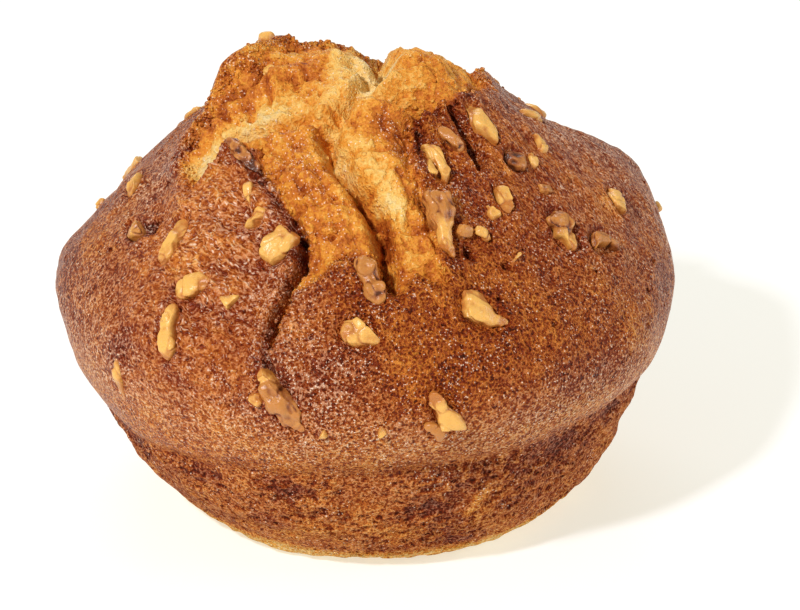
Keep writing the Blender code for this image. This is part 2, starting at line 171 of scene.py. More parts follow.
# Swellings of the dome: (u, v, half length, half width, bearing of the length in degrees, height)
SWELLINGS = (
    (-22, -1, 12, 7.5, 8, 7.2),
    (-27, 18, 12, 8, 30, -2.2),
    (-36, 3, 7, 7, 60, -1.4),
    (-12, -37, 18, 6.5, -55, 3.2),
    (4, -34, 17, 7, -62, 4.0),
    (3, -21, 6, 5, 0, 2.0),
    (10, -6, 11, 9, 20, 4.4),
    (12, 12, 10, 8, 30, 1.6),
    (31, 6, 9, 8, 60, -2.2),
    (-33, -38, 20, 14, 60, 1.8),
    (64, 24, 22, 15, 110, 5.2),
    (88, -28, 18, 11, 90, -1.8),
    (-84, 2, 16, 10, 90, 1.4),
    (-73, 22, 16, 11, 115, -2.8),
    (44, 24, 12, 8, 35, -2.0),
    (0, 30, 12, 9, 90, -1.8),
    (30, -75, 30, 12, 0, 0.6),
)

# Forms of the walnut pieces: spines of (along, aside, width, height, skin), in shares of half the length,
# half the width, half the width, half the height and the piece's skin
KERNEL_SPINES = {
    "peanut": ((-1, -0.1, 0.8, 0.9, 1), (-0.5, -0.08, 1, 1, 1), (0.05, 0.1, 0.72, 0.85, 1),
               (0.5, 0.05, 0.92, 0.95, 1), (1, -0.1, 0.6, 0.8, 1)),
    "leaf": ((-1, 0.15, 0.4, 0.6, 1), (-0.4, 0, 0.9, 1, 1), (0.3, -0.1, 0.95, 0.9, 1),
             (1, 0.1, 0.25, 0.5, 1)),
    "block": ((-1, 0.1, 0.8, 0.8, 1), (-0.3, 0, 1, 1, 1), (0.4, 0.05, 0.9, 0.9, 1),
              (1, -0.1, 0.85, 0.7, 1)),
    "wedge": ((-1, 0, 0.8, 0.9, 1), (-0.4, 0.05, 1, 1, 1), (0.2, -0.05, 0.85, 1, 1),
              (0.6, 0.1, 0.8, 0.9, 1), (1, 0.15, 0.7, 0.7, 1)),
    "diamond": ((-1, 0, 0.35, 0.6, 1), (-0.15, 0.08, 1, 1, 1), (0.3, -0.05, 0.95, 0.9, 1),
                (1, 0, 0.35, 0.6, 1)),
    "flared": ((-1, 0.15, 0.5, 0.8, 1), (-0.5, 0.12, 0.6, 0.85, 1), (0, -0.1, 0.62, 0.8, 1),
               (0.45, 0, 0.85, 0.95, 1), (0.75, 0.1, 1, 1, 1), (1, 0.1, 0.9, 0.9, 1)),
    "crescent": ((-1, 0.1, 0.5, 0.8, 1), (-0.65, 0.1, 0.95, 1, 1), (-0.2, 0.15, 1, 1, 1),
                 (0.15, -0.05, 0.7, 0.85, 1), (0.45, -0.3, 0.4, 0.6, 1), (0.8, -0.2, 0.34, 0.5, 1),
                 (1, 0, 0.25, 0.45, 1)),
    "tongue": ((-1, 0, 0.55, 0.8, 0.2), (-0.7, 0.05, 0.7, 0.85, 0.2), (-0.35, 0, 0.5, 0.6, 0),
               (0.1, 0, 0.85, 0.9, 0), (0.5, 0, 1, 1, 0), (1, 0, 0.7, 0.8, 0)),
    "flake": ((-1, -0.1, 0.5, 0.8, 1), (-0.6, 0.3, 0.65, 1, 1), (0, 0.3, 0.6, 1, 1),
              (0.6, 0.2, 0.6, 0.95, 1), (1, -0.1, 0.5, 0.8, 1)),
    "curl": ((-1, -0.5, 0.4, 0.8, 1), (-0.5, 0.3, 0.5, 1, 1), (0, 0.55, 0.45, 1, 1),
             (0.5, 0.3, 0.5, 1, 1), (1, -0.5, 0.4, 0.8, 1)),
    "bean": ((-1, 0.2, 0.7, 0.8, 1), (-0.4, 0.2, 1, 1, 1), (0.2, 0, 0.9, 1, 1),
             (0.7, -0.2, 0.7, 0.85, 1), (1, -0.4, 0.5, 0.7, 1)),
    "lobed": ((-1, 0.1, 0.7, 0.8, 1), (-0.7, -0.1, 1, 1, 1), (-0.4, 0.15, 0.8, 0.85, 1),
              (-0.1, 0, 0.85, 0.95, 1), (0.2, -0.15, 0.5, 0.7, 0.6), (0.6, -0.3, 0.42, 0.7, 0),
              (1, -0.2, 0.35, 0.6, 0)),
    "capped": ((-1, 0, 0.62, 0.8, 0), (-0.8, 0, 0.78, 0.95, 0), (-0.66, 0.05, 0.62, 0.7, 0.5),
               (-0.5, 0.05, 0.95, 1, 1), (0, 0, 1, 1, 1), (0.45, 0, 0.85, 0.9, 1),
               (0.68, 0, 0.5, 0.6, 0.7), (0.84, 0.15, 0.6, 0.7, 0), (1, 0.2, 0.5, 0.6, 0)),
    "twin": ((-1, 0, 0.9, 0.9, 1), (-0.55, 0, 1, 1, 1), (-0.05, 0, 0.6, 0.6, 1),
             (0.4, 0.05, 0.95, 1, 1), (1, 0.1, 0.8, 0.8, 1)),
    "ball": ((-1, 0, 0.8, 0.8, 1), (0, 0.05, 1, 1, 1), (1, 0, 0.8, 0.8, 1)),
    "stick": ((-1, 0, 0.7, 0.9, 1), (-0.5, 0.1, 0.9, 1, 1), (0, 0, 0.95, 1, 1),
              (0.5, -0.1, 1, 1, 1), (1, 0, 0.75, 0.8, 1)),
}

# How many flat faces each form is cut with, where it isn't two
KERNEL_CUTS = {"block": 5, "diamond": 5, "wedge": 4, "leaf": 4, "flake": 3}
CUT_FLATNESS = 0.9

# 2 would make a piece round across, and more makes it squarer
SQUARENESS = 4

# Walnut pieces: (u, v, length, width, height, bearing in degrees, spine, skin), the skin being how much of
# the piece keeps its brown skin, and above 1 how burnt that is
WALNUTS = (
    (-44.5, -38, 10.6, 4.6, 4.6, 48, "peanut", 0.0),
    (-23.8, -41.6, 6.8, 3.2, 3.4, 40, "leaf", 0.0),
    (-19.3, -49, 9.2, 6.2, 5.0, 37, "wedge", 0.12),
    (-40, -51.6, 8.2, 4.8, 3.6, 4, "block", 0.0),
    (-47, -58.6, 11.0, 4.8, 4.8, -108, "flared", 0.0),
    (-1.5, -69.6, 9.2, 5.8, 4.4, -22, "diamond", 0.1),
    (27.6, -61.2, 11.6, 6.6, 4.4, -10, "crescent", 0.0),
    (21.2, -83.8, 12.0, 5.4, 5.0, -46, "tongue", 0.5),
    (-21.2, -81.2, 15.4, 5.0, 5.2, -69, "capped", 1.0),
    (-68.5, -57.8, 9.0, 2.8, 3.4, -138, "leaf", 0.55),
    (15.6, -31.2, 9.8, 4.8, 4.4, -54, "flake", 0.05),
    (17.4, -44.6, 16.0, 6.2, 5.4, -67, "lobed", 0.85),
    (24.6, -16.2, 11.4, 3.8, 4.4, -42, "stick", 0.1),
    (31.6, -33.2, 6.4, 4.0, 4.2, -49, "bean", 0.05),
    (33.5, -21.2, 5.2, 4.8, 4.2, 20, "ball", 1.5),
    (60.8, -9.4, 7.8, 4.6, 4.0, -62, "block", 0.1),
    (-25.6, -26.4, 12.0, 2.4, 3.0, -64, "stick", 1.35),
    (1.7, -59.0, 9.8, 4.4, 4.6, -65, "twin", 0.95),
    (47.2, -33, 9.4, 6.0, 4.6, -37, "lobed", 0.7),
    (57.4, -28.6, 9.0, 5.6, 4.2, 36, "curl", 0.75),
    (-55.2, -26, 7.4, 3.2, 3.8, -73, "leaf", 0.6),
    (-57, -5.2, 7.2, 3.2, 3.8, -108, "bean", 0.1),
    (38.6, 4, 6.4, 4.4, 4.2, 40, "block", 0.1),
    (-30, 12, 7.4, 5.4, 4.6, 20, "lobed", 0.7),
    (16, 30, 9.2, 5.6, 5.0, 15, "peanut", 0.2),
    (-14, 33, 11.0, 6.0, 5.0, 120, "crescent", 0.1),
    (-42, 26, 8.2, 5.0, 4.6, 60, "wedge", 0.4),
    (-62, 30, 9.6, 4.8, 4.8, 140, "peanut", 0.1),
    (-33, 52, 10.8, 5.6, 5.2, 100, "flake", 0.2),
    (-8, 58, 8.0, 5.2, 4.6, 20, "diamond", 0.0),
    (20, 50, 12.0, 5.6, 5.4, 75, "capped", 0.9),
    (42, 44, 7.6, 5.0, 4.6, 130, "block", 0.1),
    (64, 38, 9.0, 5.2, 4.8, 45, "bean", 0.3),
    (44, 64, 9.8, 5.0, 5.0, 115, "peanut", 0.1),
    (8, 80, 10.6, 5.2, 5.0, 160, "flared", 0.2),
    (-26, 76, 7.8, 5.0, 4.4, 70, "diamond", 0.0),
)
WALNUT_SINK = 0.42

# Walnut bits fused to the crust: (u, v, length, width, bearing in degrees, spine, skin)
BITS = (
    (-24.7, -36.8, 5.8, 2.4, -90, "leaf", 0.0),
    (-31.6, -58.1, 5.0, 3.6, -3, "diamond", 0.0),
    (29.2, -38, 5.0, 2.4, -24, "leaf", 0.1),
    (37.8, -18.1, 4.4, 2.6, -58, "block", 0.0),
    (40.1, -9.2, 5.0, 2.8, -50, "stick", 0.0),
    (26.8, -44, 3.8, 2.6, -10, "leaf", 0.3),
    (-27.2, -79.4, 3.4, 2.4, -57, "block", 0.0),
    (18.8, -87.6, 4.8, 3.2, -42, "curl", 1.1),
    (22.3, -45.4, 3.4, 3.0, 0, "ball", 0.55),
    (14.1, -33.4, 5.4, 2.6, -60, "leaf", 0.1),
    (18.4, -24.3, 7.4, 2.2, -33, "stick", 1.0),
    (-28.3, -21.7, 4.6, 2.4, -35, "bean", 1.5),
    (-27.2, -25.5, 6.6, 1.4, -60, "stick", 0.9),
    (-19.5, -3.4, 3.8, 2.8, 30, "block", 0.1),
    (35.4, -46.3, 3.4, 1.2, 62, "stick", 0.1),
    (-11, -89.5, 2.8, 1.4, 60, "leaf", 0.0),
    (4.5, -89, 3.0, 1.4, 70, "leaf", 0.0),
    (41.5, -24.5, 3.4, 2.6, 20, "block", 0.6),
    (-19, 6, 4.0, 3.0, 30, "block", 0.1),
    (76, 24, 3.6, 2.6, 80, "leaf", 0.1),
    (-4, 46, 4.4, 3.0, 50, "block", 0.1),
    (30, 72, 4.0, 3.0, 120, "ball", 0.6),
    (-50, 46, 4.6, 3.2, 10, "leaf", 0.1),
    (-70, 12, 3.4, 2.6, 60, "block", 0.1),
    (30, 27, 3.8, 2.8, 100, "ball", 0.6),
    (56, 48, 4.4, 3.2, 30, "leaf", 0.1),
    (-14, 90, 3.8, 2.8, 75, "block", 0.1),
)
BIT_HEIGHT = 2.8
BIT_SINK = 0.5

# Smaller ridges, in millimetres above the crust, and folds, below it, with the change of bake along
# each, which in the folds and holes is partly painted shade: (change, knots of (u, v, half width, height))
FOLDS = (
    # the left of the crown: a tear along the crust, darkened with painted shade, and rust-coloured knobs
    # below it
    (0.20, ((-44, -11, 0.8, -0.8), (-40, -8, 1.3, -2.0), (-36, -6.8, 1.2, -2.2),
            (-31.5, -6.2, 0.7, -0.8), (-27, -6.3, 1.3, -2.2), (-24, -6.6, 0.8, -1.0),
            (-21.5, -6, 1.4, -2.6), (-18.5, -3.5, 1.0, -1.6), (-14, -1, 0.6, -0.6))),
    (0.08, ((-44, -15, 1.8, 0.8), (-40, -11, 2.2, 1.2), (-34, -9.3, 2.2, 1.3),
            (-28, -9.2, 2.2, 1.3), (-22, -8.6, 2.2, 1.4), (-17, -6, 2.0, 1.2),
            (-12, -3.5, 1.6, 0.8))),
    (0.10, ((-14.5, -7.5, 0.6, -0.5), (-12, -6, 0.9, -1.1), (-9.5, -4.5, 0.6, -0.5))),
    (0.10, ((-31.5, -7.5, 0.5, -0.4), (-30.5, -9.5, 0.8, -1.0), (-30, -11.5, 0.5, -0.4))),
    (0.10, ((-25.5, -8, 0.5, -0.4), (-25, -10.5, 0.8, -1.0), (-24.8, -12.5, 0.5, -0.4))),
    (0.10, ((-20.5, -7.5, 0.5, -0.4), (-20, -10, 0.8, -1.1), (-21.5, -12.5, 0.6, -0.5))),
    (0.10, ((-22, 6, 1.4, 1.4), (-16, 7, 1.6, 1.8), (-10, 8, 1.2, 1.0))),
    (0.30, ((-52.8, -26.5, 0.7, -0.6), (-51.2, -28.8, 1.5, -2.2), (-50.2, -31, 0.7, -0.6))),
    # the golden band's pale knobs and the holes among them
    (-0.06, ((-31, -14, 0.8, 0.5), (-28, -15.3, 1.1, 0.9), (-24, -15, 1.1, 0.8),
             (-21.5, -15, 0.8, 0.5))),
    (-0.04, ((-19, -16, 0.8, 0.4), (-16.5, -16.8, 1.0, 0.9), (-13, -17.5, 0.8, 0.5))),
    (0.20, ((-25.6, -13.2, 0.6, -0.8), (-24.8, -13.9, 0.9, -2.0), (-24, -14.4, 0.5, -0.6))),
    (0.16, ((-20.5, -17.5, 0.7, -1.0), (-19, -18.2, 1.1, -2.2), (-17.8, -19, 0.6, -0.8))),
    (0.14, ((-16.2, -15.6, 0.4, -0.6), (-15.3, -15.9, 0.7, -1.6), (-14.5, -16.1, 0.4, -0.6))),
    (0.10, ((-13.5, -17.3, 0.4, -0.5), (-12.8, -17.6, 0.6, -1.2), (-12, -17.9, 0.4, -0.5))),
    (0.12, ((-26.5, -18.6, 0.8, -0.8), (-22, -20.2, 1.3, -2.0), (-17, -20.8, 0.9, -1.0),
            (-12, -21, 0.8, -1.0))),
    # the plate's tip and its long torn edge
    (0.16, ((-37, -28, 0.8, 0.6), (-32.5, -24.8, 1.0, 1.2), (-28.8, -21.2, 1.0, 1.5),
            (-25.4, -23.5, 0.8, 0.8))),
    (0.16, ((-24.5, -31.5, 0.6, -0.6), (-22.4, -34, 1.0, -1.6), (-21, -37, 0.8, -0.8),
            (-19.2, -40, 1.0, -1.6), (-17.2, -43, 0.8, -1.2), (-15, -46.5, 0.9, -1.6),
            (-14, -50, 0.9, -1.4), (-15.5, -56, 0.7, -0.8))),
    (0.03, ((-26, -34, 1.0, 0.5), (-21.5, -43, 1.2, 0.8), (-17.5, -47, 1.3, 1.0),
            (-17, -54, 1.3, 1.0), (-21, -61, 1.2, 0.8), (-25, -68, 1.2, 0.6))),
    (0.16, ((-16, -56, 0.6, -0.8), (-18, -59.5, 0.9, -1.8), (-19.5, -62, 0.6, -0.6),
            (-22, -66.5, 0.9, -1.6), (-23.5, -70, 0.6, -0.8), (-22.5, -75, 0.8, -1.4),
            (-23.5, -78, 0.4, -0.4))),
    # the golden middle: its top, its edge over the main fissure and its slanting ribs
    (0.04, ((-19, -23, 1.0, 0.6), (-15, -22.8, 1.3, 1.0), (-11.5, -22.6, 1.0, 0.7))),
    (0.03, ((-11.5, -23, 1.2, 0.6), (-10.6, -28, 1.3, 0.9), (-7.5, -35, 1.2, 0.9),
            (-2.5, -41, 1.2, 0.9), (1, -47, 1.2, 0.8), (1.5, -52, 1.0, 0.5))),
    (0.05, ((-17, -26, 0.9, 0.5), (-13, -33, 1.1, 0.7), (-8, -42, 1.0, 0.5))),
    (0.10, ((-15.5, -26, 0.6, -0.4), (-11, -33, 0.7, -0.6), (-6, -42, 0.6, -0.4))),
    (0.06, ((-16, -36, 0.9, 0.5), (-12, -42, 1.1, 0.6), (-9, -49, 0.9, 0.4))),
    (0.10, ((-11, -47.5, 0.5, -0.5), (-8.5, -48.6, 0.8, -1.2), (-6, -48, 0.5, -0.5))),
    # the main fissure's crevice: a hollow at its head, a cleft, then an opening darkened with painted shade
    (0.22, ((-10.5, -21.5, 0.8, -1.0), (-9, -23.6, 1.5, -2.6), (-8.4, -26, 1.2, -2.0),
            (-8.2, -28, 0.7, -1.0))),
    (0.16, ((-8.5, -27, 0.6, -0.8), (-8, -31, 0.8, -1.8), (-5.8, -34.2, 0.8, -2.2),
            (-3.3, -37.5, 0.8, -2.2), (-0.8, -41, 0.9, -2.6), (0.4, -42.8, 0.8, -2.0),
            (3, -44.5, 0.6, -0.8))),
    (0.30, ((3.5, -44, 0.6, -0.8), (5, -46, 0.8, -2.4), (5.6, -48.8, 0.9, -3.0),
            (6.2, -51.2, 0.7, -1.4))),
    (0.30, ((5, -51.5, 0.6, -0.8), (4.9, -54, 0.8, -1.8), (5.5, -57, 1.0, -2.4),
            (7, -59.5, 1.0, -3.0), (8, -60.5, 0.5, -0.6))),
    # pale knobs and hollows at the head of the main fissure
    (-0.05, ((-8, 4, 1.6, 1.0), (-6, -2, 1.8, 1.0), (-4.5, -7, 1.5, 0.8))),
    (-0.04, ((-10.5, -16, 0.8, 0.5), (-9.2, -17.6, 1.2, 1.1), (-8.8, -19.8, 0.9, 0.6))),
    (-0.04, ((-5, -10, 0.8, 0.5), (-4, -12.8, 1.2, 1.0), (-3.2, -15, 0.8, 0.5))),
    (0.08, ((-7.5, -16, 0.5, -0.6), (-6.4, -18, 0.9, -1.8), (-5.8, -19.5, 0.5, -0.6))),
    (0.06, ((-2.5, -1, 0.8, -0.8), (-1.2, -5, 1.0, -1.6), (0.6, -7.5, 1.1, -2.0),
            (-1.5, -10.5, 0.9, -1.2), (-3.4, -16.2, 0.8, -1.2))),
    # the right lobe: its brow and the ridges behind it
    (0.06, ((-1, -17, 0.7, -0.8), (4, -18.4, 0.9, -1.4), (9, -18.9, 0.9, -1.2),
            (14, -18.4, 0.6, -0.8))),
    (0.02, ((-1, -19, 0.9, 0.7), (4, -20.8, 1.2, 1.5), (9, -21.2, 1.2, 1.5), (13, -21, 1.0, 0.9))),
    (0.20, ((10.6, -21.6, 0.6, -0.8), (11.2, -24, 1.0, -2.2), (11.3, -27.5, 0.9, -1.8),
            (11.6, -30.5, 0.5, -0.6))),
    (0.14, ((12.5, -20, 0.8, 0.6), (15.5, -16.2, 1.0, 1.1), (18.5, -13.2, 1.0, 1.1),
            (21, -11.8, 0.8, 0.6))),
    (0.24, ((16.4, -14.6, 0.8, -1.0), (18.6, -17.2, 1.1, -2.2), (21.3, -19.4, 1.1, -2.2),
            (23.8, -22, 1.1, -2.4), (25.2, -25.4, 1.4, -3.4), (25.6, -28, 0.5, -0.6))),
    (0.06, ((1, -13, 1.2, 0.7), (6, -10.5, 1.5, 1.1), (11, -9, 1.5, 1.1), (16, -9.4, 1.2, 0.7))),
    (0.10, ((4, -15, 0.8, -0.6), (9, -13.5, 1.0, -1.0), (14, -12.8, 0.9, -0.8))),
    (0.06, ((6, -6, 1.2, 0.6), (11, -4.5, 1.5, 0.8), (15, -6, 1.2, 0.5))),
    (0.08, ((8, -8, 0.7, -0.6), (14, -7, 0.8, -0.8), (19, -9, 0.7, -0.6))),
    (0.20, ((22.5, -3.5, 0.5, -0.6), (24.4, -1.6, 0.8, -2.0), (26, 0.5, 0.5, -0.6))),
    # small holes in the crust, darkened with painted shade
    (0.20, ((32, -48.6, 0.5, -0.8), (33, -48.9, 0.9, -2.0), (34.2, -49, 0.5, -0.8))),
    (0.20, ((28, -42, 0.4, -0.6), (28.6, -43.2, 0.6, -1.6), (29, -44.2, 0.4, -0.6))),
    (0.24, ((22.9, -47.6, 0.5, -0.8), (24, -49.2, 1.0, -2.4), (25.2, -50.4, 0.6, -1.0))),
    (0.16, ((-58, -22, 0.6, -0.6), (-57, -25.5, 1.0, -1.4), (-56.2, -29, 0.6, -0.6))),
    (0.16, ((-66, -53, 0.6, -0.6), (-68, -56, 0.9, -1.2), (-70.5, -58.6, 0.6, -0.6))),
    (-0.02, ((-36.5, -41, 0.9, 0.4), (-34, -43, 1.5, 0.9), (-31.5, -44.6, 0.9, 0.4))),
)

# Patches of ribs in the surface: (u, v, half length, half width, bearing, rib bearing, height)
RIBS = (
    (-13, -35, 18, 8, -60, -60, 0.90),
    (-22, -3, 18, 8, 5, 10, 0.90),
    (12, -8, 12, 7, -10, -12, 0.90),
    (18, -26, 8, 4, -60, -60, 0.80),
    (38, -14, 22, 18, -45, -45, 0.22),
    (-58, -22, 20, 12, 60, -45, 0.22),
)

# How the bake varies, darkened in places with painted shade: (u, v, half length, half width, bearing in
# degrees, change). 0 is raw crumb, 0.4 golden, 0.7 the brown crust and 1 burnt. The next tables are read in
# the same way.
BAKE_AND_SHADE_PATCHES = (
    # pale crumb of the fissures and pockets
    (1.5, -3, 9, 6.5, 90, -0.36),
    (-4, -13, 6, 5, 60, -0.05),
    (-8, -22, 5, 3.5, -60, -0.04),
    (-3, -33, 13, 2.4, -60, -0.04),
    (3, -36.5, 13, 2.2, -60, -0.17),
    # painted shade in the main fissure's deep openings
    (6.5, -52, 7, 2.2, -62, 0.26),
    (1, -42, 5, 1.6, -60, 0.20),
    (1, 27, 8, 6, 90, -0.14),
    (-21, 0, 8, 6, 60, -0.10),
    (-36, -19, 8, 5, -60, -0.38),
    (-24, -15, 8, 3, -5, -0.24),
    (-14, -14, 8, 3, 5, -0.08),
    # painted shade in the plate's deep crack
    (-13.5, -51, 6, 2.4, -80, 0.26),
    (8, -12, 9, 5, 10, -0.08),
    (22, 12, 7, 5, 60, -0.06),
    # browned middles and ridges
    (5, -25, 8, 4, -15, 0.14),
    (8.5, -34, 12, 2.6, -68, 0.16),
    (9, -48, 7, 2.4, -65, -0.08),
    (13.5, -51, 8, 2.0, -65, 0.10),
    (17, -34, 14, 4, -76, -0.12),
    (-15, -31, 10, 4, -58, 0.05),
    (-9, -41, 10, 3.4, -58, 0.12),
    (-19, -33, 10, 2.5, -55, 0.10),
    (-30, -8, 16, 3.4, 8, 0.10),
    (-9, -1, 6, 4, 80, 0.08),
    (-42, -14, 6, 3, 65, 0.08),
    (14, -6, 9, 4, 10, 0.10),
    (28, 0, 8, 7, 70, 0.08),
    (16, -21, 6, 3, -40, 0.16),
    (21, -18, 7, 2.5, -50, 0.14),
    (-27, -24, 6, 3, -60, 0.10),
    # the crust's own darker and lighter places, and painted shade darkening the right front
    (22, -33, 9, 4.5, -60, 0.10),
    (-66, -34, 22, 12, 80, -0.02),
    (42, -66, 26, 18, 10, 0.04),
    (-40, -46, 24, 16, -50, -0.02),
    (-56, -26, 5, 3, -73, 0.10),
    (-68, -57, 6, 3, -138, 0.10),
    (0, -76, 30, 9, 0, 0.02),
)

# Paler places of the side
WALL_PATCHES = (
    (42, -106, 16, 8, 0, 0.12),
    (-36, -118, 18, 5, 0, 0.16),
    (20, -121, 30, 4, 0, 0.06),
)

# Paler, pinker places of the crust: partly its own tone, partly a painted sheen
PALE_AND_SHEEN_PATCHES = (
    (-72, -40, 34, 16, 100, 0.7),
    (-21, -60, 26, 9, -72, 0.5),
    (-50, -11, 14, 11, 90, 1.1),
    (45, 7, 22, 12, 30, 1.3),
    (-8, -81, 12, 9, 0, 0.6),
    (30, -88, 26, 9, 0, -0.7),
    (-36, -46, 28, 20, 60, 0.5),
    (60, -14, 30, 22, 60, 0.6),
    (70, 30, 30, 20, 90, 0.4),
)

# Where the surface glistens more, or less, than elsewhere, in its painted glints and its roughness
GLISTEN_PATCHES = (
    (-32, -46, 26, 18, -50, 0.5),
    (-20, -58, 24, 9, -70, 0.5),
    (-12, -36, 18, 7, -60, 1.5),
    (7, -32, 16, 5, -68, 1.2),
    (-26, -14, 14, 5, 0, 0.8),
    (-20, 0, 16, 6, 10, 0.9),
    (24, -36, 10, 6, -60, 0.6),
    (-10, -80, 30, 16, 0, 0.25),
    (36, -66, 30, 16, 0, -0.25),
    (-72, -30, 30, 16, 90, -0.4),
    (62, 0, 40, 24, 60, -0.2),
)

# Patches of slanting streaks: the left plate, less on the right
STREAK_PATCHES = (
    (-36, -48, 36, 24, 60, 1.0),
    (45, -15, 36, 26, 45, 0.6),
)

# Where the torn crumb's gold fades more softly into the crust: millimetres added to the fade's width
SOFT_STEP_PATCHES = ((3, -56, 14, 6, 0, 5.0),)

# ---------------------------------------------------------------- how the relief is mixed

# Noise in layers: (height, width of its lumps, seed)
TORN_EDGE_NOISE = ((1.1, 5.0, 11), (0.6, 2.2, 12), (0.45, 1.2, 13))
FISSURE_WANDER = ((0.63, 4.5, 21), (0.42, 1.9, 22))
FOLD_WANDER = ((0.55, 3.0, 23), (0.3, 1.3, 24))
RIB_NOISE = ((1.0, 2.6, 71), (0.6, 1.3, 72))
KNOB_NOISE = ((0.45, 2.6, 34), (0.35, 3.6, 35))
WRINKLE_NOISE = ((0.30, 3.2, 41), (0.40, 7.0, 42))
PEBBLE_NOISE = ((0.10, 1.5, 51), (0.16, 2.2, 52), (0.14, 5.5, 60))
GRIT_NOISE = ((0.14, 1.5, 57), (0.22, 2.2, 56), (0.16, 4.2, 63))
PIT_CLUSTER_NOISE = ((1.0, 9.0, 58), (0.5, 4.0, 66))
CRUST_BAKE_NOISE = ((0.05, 16.0, 91), (0.05, 6.0, 92))
WALL_BAKE_NOISE = ((0.05, 14.0, 94), (0.06, 5.0, 95))
DOME_NOISE = ((0.8, 14.0, 31),)
SIDE_NOISE = ((0.8, 20.0, 43),)

# The same for a walnut piece, each seed added to the piece's own, and its creases as the cracks below
KERNEL_PLAN_NOISE = ((0.45, 2.3, 0), (0.25, 1.2, 50))
KERNEL_RIDGE_WARP = ((0.4, 3.0, 200),)
KERNEL_RIDGES = ((1.0, 1.3, 250),)
KERNEL_LOBES = ((1.0, 2.2, 350),)
KERNEL_ROUGHNESS = ((0.14, 1.3, 400), (0.08, 0.7, 500))
KERNEL_TOP_NOISE = ((0.25, 1.8, 600),)
KERNEL_CREASES = (2.6, 300, 0.22)

# How much the points of noise are squeezed to the right, to the back and upwards. Less than 1 draws its
# lumps out that way.
CRAG_SQUEEZE = (1.5, 0.9, 0.9)
WRINKLE_SQUEEZE = (0.35, 0.35, 1.4)
PIT_SQUEEZE = (0.62, 0.62, 1.1)
KERNEL_PLAN_SQUEEZE = (1, 1, 0.4)
KERNEL_RIDGE_SQUEEZE = (0.4, 1, 1)

# How far each of a walnut piece's own directions takes its small relief
KERNEL_PUSH = (0.7, 0.9, 1.0)

# Cracks of the torn crumb: (width between them, seed, how wide each is as a share of the noise)
WIDE_CRACKS = (5.5, 36, 0.16)
NARROW_CRACKS = (2.8, 37, 0.20)
NARROW_SHARE = 0.6

# Holes: (spacing, seed, radius and softness of the edge in shares of the spacing)
PIN_HOLES = (5.5, 87, 0.13, 0.06)
CRUMB_HOLES = (3.4, 74, 0.26, 0.12)
SIDE_PITS = ((1.5, 81, 0.41, 0.22), (2.8, 84, 0.19, 0.18))

# Heights and depths, in millimetres
LIP_HEIGHT, TORN_DEPTH, CRACK_DEPTH = 1.1, 1.7, 0.7
GROOVE_DEPTH, TILT_HEIGHT = 0.7, 1.2
PIN_HOLE_DEPTH, CRUMB_HOLE_DEPTH, SIDE_PIT_DEPTH = 0.9, 0.6, 0.5

# Where a share rises from 0 to 1: (start, end), in millimetres past what each is measured from
DOME_FADE = (-6, 10)  # the rim
SIDE_START = (2, 14)  # the rim
SIDE_FOOT = (-5, -0.5)  # the edge of the base
WALL_START = (-3, 3)  # the fold
WALL_FOOT = (1, 3)  # the edge of the base
PALE_FOOT = (-11, -6)  # the edge of the base
TORN_STEP = (-0.65, 0.65)  # the torn edge

# Soft hills: (place of the top, half width), measured in the same way
TORN_LIP = (-2.5, 3.2)  # the torn edge
FOLD_GROOVE = (0, 2.2)  # the fold
FOLD_TILT = (0, 12)  # the fold
PITTED_BAND = (3, 4)  # the fold
PALE_AND_SHEEN_BAND = (-10, 8)  # the shoulder
PALE_RIM = (-8, 7)  # the shoulder
CRUMBLY_EDGE = (0, 1.6)  # the torn edge
CRUMB_EDGE = (0, 1.3)  # the torn edge

# How far round its line a fissure or a fold is looked for, and how it flares past its half width
FISSURE_REACH, FISSURE_FLARE = 8, 1.5
FOLD_REACH, FOLD_FLARE, FOLD_GAIN = 4, 1.8, 1.2
FOLD_DROP = 1.5
STREAK_BEARING, STREAK_STRETCH = -42, 3.2

# A walnut's socket: its half length, half width and depth in shares of the piece's length, width and height
SOCKET_LENGTH, SOCKET_WIDTH, SOCKET_DEPTH = 0.56, 0.6, 0.22
SOCKET_LIP_HEIGHT = 0.35
SOCKET_REACH = 1.8

# How far from a walnut things lie, in shares of its socket
SOCKET_WALL = (0.65, 1.15)
SOCKET_LIP = (1.35, 0.25)
# the ring of painted shade round each walnut
SOCKET_SHADE = (1.1, 0.2)
CLEAR_OF_WALNUT = (1.2, 1.6)
FAR_FROM_WALNUTS = 9.0

# Bake of the untouched crust, the torn crumb and the side. Past BURNT_FROM it rises more slowly.
CRUST_BAKE, TORN_BAKE, WALL_BAKE = 0.67, 0.38, 0.62
LEAST_BAKE = 0.02
BURNT_FROM, BURNT_SOFTENED = 0.80, 0.6

# ---------------------------------------------------------------- lines and noise


def smooth_line(points, steps=24):
    """A dense Catmull-Rom line through the points."""
    p = np.array(points, float)
    p = np.vstack([2 * p[0] - p[1], p, 2 * p[-1] - p[-2]])
    t = np.linspace(0, 1, steps, endpoint=False)[:, None]
    runs = [
        0.5 * (2 * b + (c - a) * t + (2 * a - 5 * b + 4 * c - d) * t**2 + (3 * b - a - 3 * c + d) * t**3)
        for a, b, c, d in zip(p, p[1:], p[2:], p[3:])
    ]
    return np.vstack([*runs, p[-2:-1]])


def ease(x):
    """0 below 0, 1 above 1, smooth between."""
    x = np.clip(x, 0, 1)
    return x * x * (3 - 2 * x)


def rise(x, start, end):
    """0 before the start, 1 past the end, smooth between."""
    return ease((x - start) / (end - start))


def hill(x, top, width):
    """A soft hill, 1 at its top."""
    return np.exp(-(((x - top) / width) ** 2))


def lattice(cells, seed):
    """A repeatable number from -1 to 1 for each whole-number cell."""
    n = cells.astype(np.int64)
    h = n[..., 0] * 73856093 ^ n[..., 1] * 19349663 ^ n[..., 2] * 83492791 ^ (seed * 2654435761)
    h = (h ^ (h >> 13)) * 1274126177 & 0xFFFFFFFF
    h = (h ^ (h >> 16)) * 2246822519 & 0xFFFFFFFF
    return (h ^ (h >> 15)) % 65536 / 32767.5 - 1


